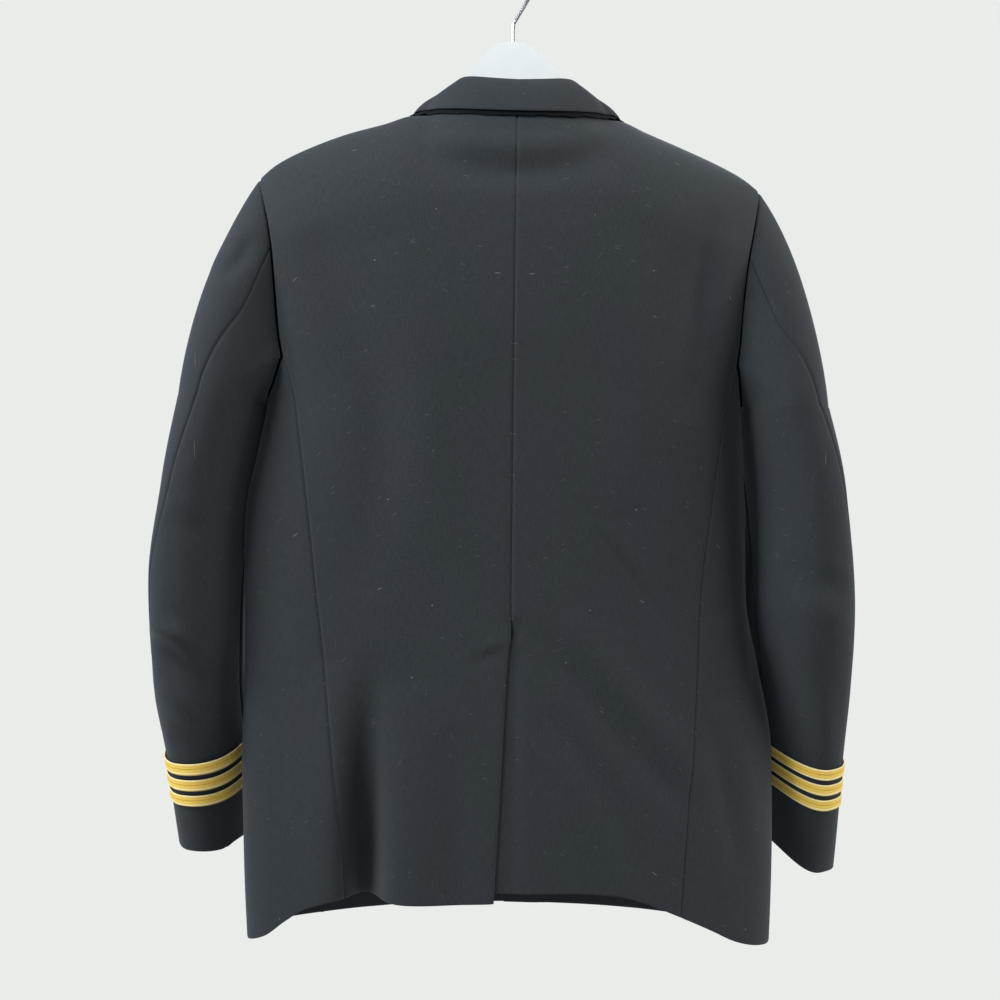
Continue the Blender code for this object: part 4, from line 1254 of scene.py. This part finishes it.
for side in (LEFT, RIGHT):
    name = side_name(side)
    for number in range(BRAIDS):
        node = f"braid_{name}_{number + 1}"
        low = CUFF_TO_BRAID[side] + (BRAIDS - 1 - number) * BRAID_PITCH
        high_station, low_station = (cuff_station(side, low + w) for w in (BRAID_WIDTH, 0.0))
        across = np.linspace(0, 1, BRAID_ROWS)[:, None]
        stations = high_station + (low_station - high_station) * across
        turn = np.linspace(0, 360, 180, endpoint=False)[None, :]
        grid = hang(sleeve(side, turn, stations))
        outward = grid_normals(grid, True) * (-1 if side == LEFT else 1)
        grid = grid + outward * (BRAID + 2 * SEAM + rib_height(across))[..., None]
        edges = {"flip": side == LEFT, "ring": True, "free": "top low", "folded": False}
        band = shell(node + "_band", grid, GOLD, BRAID, **edges)
        rests = [f"topsleeve_{name}_cloth", f"undersleeve_{name}_cloth"]
        join_frame(band, node, "gold_braid", "laid", rests, flat=(0.305, BRAID_WIDTH))

# %% [markdown]
# ## Collar
# The collar is one strip folded along its middle: the stand inside, which rises from the neck seam,
# and the fall outside, which turns over and lies on the shoulders. The fold is soft, so the fall
# starts with a rolled edge. The felt undercollar lies beneath the fall and shows below its edge.


# %% collar curves
def collar_curves(samples=60):
    """The fold line and the lower edge, as points on the right half."""
    along = np.linspace(0, 1, samples)
    fold = np.stack([read(COLLAR, c, along) for c in ("fold_out", "fold_y", "fold_z")], -1)
    return along, fold, read(COLLAR, "edge_out", along), read(COLLAR, "edge_turn", along)


def on_yoke(out, turn, lift):
    """A point lifted off the shoulder's surface; a turn below 0 is in front."""
    face = np.where(turn >= 0, -1, 1)
    step = 0.0005

    def at(o, t):
        back = yoke(RIGHT, o, np.abs(t), -1)
        front = yoke(RIGHT, o, np.abs(t), 1)
        return np.where((face < 0)[..., None], back, front)

    here = at(out, turn)
    turned = at(out, turn + 1.0) - at(out, turn - 1.0)
    normal = np.cross(at(out + step, turn) - at(out - step, turn), turned)
    normal /= np.linalg.norm(normal, axis=-1, keepdims=True)
    lean = np.radians(turn)
    outside = np.stack([0 * out, -np.sin(lean), np.cos(lean)], -1)
    normal *= np.sign((normal * outside).sum(axis=-1, keepdims=True))
    return here + normal * lift


def both_halves(half):
    """A strip of the right half joined to its mirror image, across its columns."""
    mirrored = half[:, :0:-1] * np.array([-1.0, 1.0, 1.0])
    return np.concatenate([mirrored, half], axis=1)


def roll(fold, edge, share, bulge):
    """Rows from the fold line (0) to the edge (1), rounded near the fold."""
    control = fold * 0.45 + edge * 0.55
    control[..., 2] += bulge
    t = share[:, None, None]
    return fold * (1 - t) ** 2 + control * 2 * t * (1 - t) + edge * t * t


# %% collar pieces
ROLL_RADIUS = 0.0021
FALL_LIFT = 0.0061
FELT_LIFT = 0.0031
STAND_INSIDE = 0.0045
STAND_BELOW = 0.0050

along, fold, out, turn = collar_curves()
edge = on_yoke(out, turn, FALL_LIFT)
inward = -fold[:, :2] / np.linalg.norm(fold[:, :2], axis=-1, keepdims=True)
over = []
for angle in np.radians(np.linspace(200, 20, 9)):
    ring_point = fold.copy()
    ring_point[:, :2] += inward * (ROLL_RADIUS * (1 - math.cos(angle)))
    ring_point[:, 2] += ROLL_RADIUS * (math.sin(angle) - 0.35)
    over.append(ring_point)
fall = roll(fold, edge, spaced(0.045, 0.0025), 0.010)
fall = both_halves(np.concatenate([np.array(over), fall]))
plain_edges = {"flip": True, "free": "top low first last", "folded": False}
sew("collar_fall", fall, "folded", ["collar_stand_cloth"], (0.463, 0.052), 0.0163, **plain_edges)

inner = both_halves(roll(fold, edge, np.linspace(0.14, 1.0, 16), 0.010))
inner = inner + grid_normals(inner, False) * (CLOTH + 3 * SEAM)
last = on_yoke(out + 0.003, turn + 4.5 * np.cos(np.radians(turn)), FELT_LIFT)
start = inner[-1]
beyond = both_halves(last[None])[0]
lip = start + (beyond - start) * np.linspace(0, 1, 6)[1:, None, None]
inner = np.concatenate([inner, lip])
ragged = np.convolve(rng.normal(0, 0.0011, inner.shape[1] + 2), (0.25, 0.5, 0.25), "valid")
inner[-4:, :, 2] += ragged * np.array([0.15, 0.4, 0.75, 1.0])[:, None]
inner[2:] += grid_normals(inner, False)[2:] * -rng.normal(0, 0.00022, inner.shape[:2])[2:, :, None]
felt = shell("undercollar_felt", hang(inner), FELT_FINISH, FELT, **plain_edges)
cut = {"flat": (0.46, 0.043), "area": 0.0139}
join_frame(felt, "undercollar", "undercollar_felt", "folded", ["collar_fall_cloth"], **cut)

keep = along <= 0.62
neck_out = np.minimum(fold[keep, 0] * 1.03, NECK_HALF)
depth, height = top_edge(RIGHT, neck_out)
seam_line = np.stack([neck_out, depth, height + 4 * SEAM], -1)
top = fold[keep].copy()
radius = np.linalg.norm(top[:, :2], axis=-1, keepdims=True)
top[:, :2] *= (radius - STAND_INSIDE) / radius
top[:, 2] -= STAND_BELOW
share = spaced(0.03, 0.003)[:, None, None]
stand = both_halves(top * (1 - share) + seam_line * share)
plain_edges["free"] = "top first last"
sew("collar_stand", stand, "folded", ["back_left_cloth"], (0.225, 0.027), 0.0048, **plain_edges)

# %% [markdown]
# ## Buttons
# Domed uniform buttons, 22 mm across, stamped from sheet brass: a rolled rim, a narrow groove and a
# low dome. A turned profile makes them, because every section of a stamped button is round.

# %% buttons
BUTTON_RADIUS = 0.011
BUTTON_DEPTH = 0.0052
BUTTON_PROFILE = (
    (1.00, 0.08), (1.00, 0.30), (0.985, 0.40), (0.955, 0.46), (0.92, 0.48),
    (0.885, 0.46), (0.865, 0.41), (0.845, 0.41), (0.82, 0.46), (0.76, 0.58),
    (0.66, 0.72), (0.54, 0.83), (0.40, 0.92), (0.24, 0.98), (0.10, 1.0),
)
SEGMENTS = 64
for number, height in enumerate((-0.500, -0.610, -0.720), start=1):
    node = f"button_{number}"
    low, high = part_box(node)
    middle = np.array([(low.x + high.x) / 2, low.y, (low.z + high.z) / 2])
    angles = np.linspace(0, 2 * math.pi, SEGMENTS, endpoint=False)
    rings = []
    for radius, lift in BUTTON_PROFILE:
        ring = np.stack([np.cos(angles), 0 * angles, np.sin(angles)], -1) * radius * BUTTON_RADIUS
        ring[:, 1] = lift * BUTTON_DEPTH
        rings.append(middle + ring)
    grid = np.array(rings)
    rows = len(rings)
    faces = [list(face) for face in quads(rows, SEGMENTS, True, turned=True)]
    faces.append(list(range(SEGMENTS)))
    faces.append([(rows - 1) * SEGMENTS + step for step in range(SEGMENTS)][::-1])
    mesh = bpy.data.meshes.new(node + "_dome")
    mesh.from_pydata(grid.reshape(-1, 3).tolist(), [], faces)
    mesh.materials.append(GILT)
    mesh.shade_smooth()
    mesh.set_sharp_from_angle(angle=math.radians(35))
    dome = bpy.data.objects.new(node + "_dome", mesh)
    scene.collection.objects.link(dome)
    join_frame(dome, node, "gilt_button", None, None)
    print(node, "at", middle.round(3))

# %% [markdown]
# ## Hanger and hook
# The hanger's plate and the hook's wire are right as packed, so they keep their shapes and only take
# their finishes. From behind, only the rounded neck of the hanger shows.

# %% hanger and hook
for node, finish in (("hanger", PLASTIC), ("hook", CHROME)):
    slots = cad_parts[node].data.materials
    slots.clear()
    slots.append(finish)
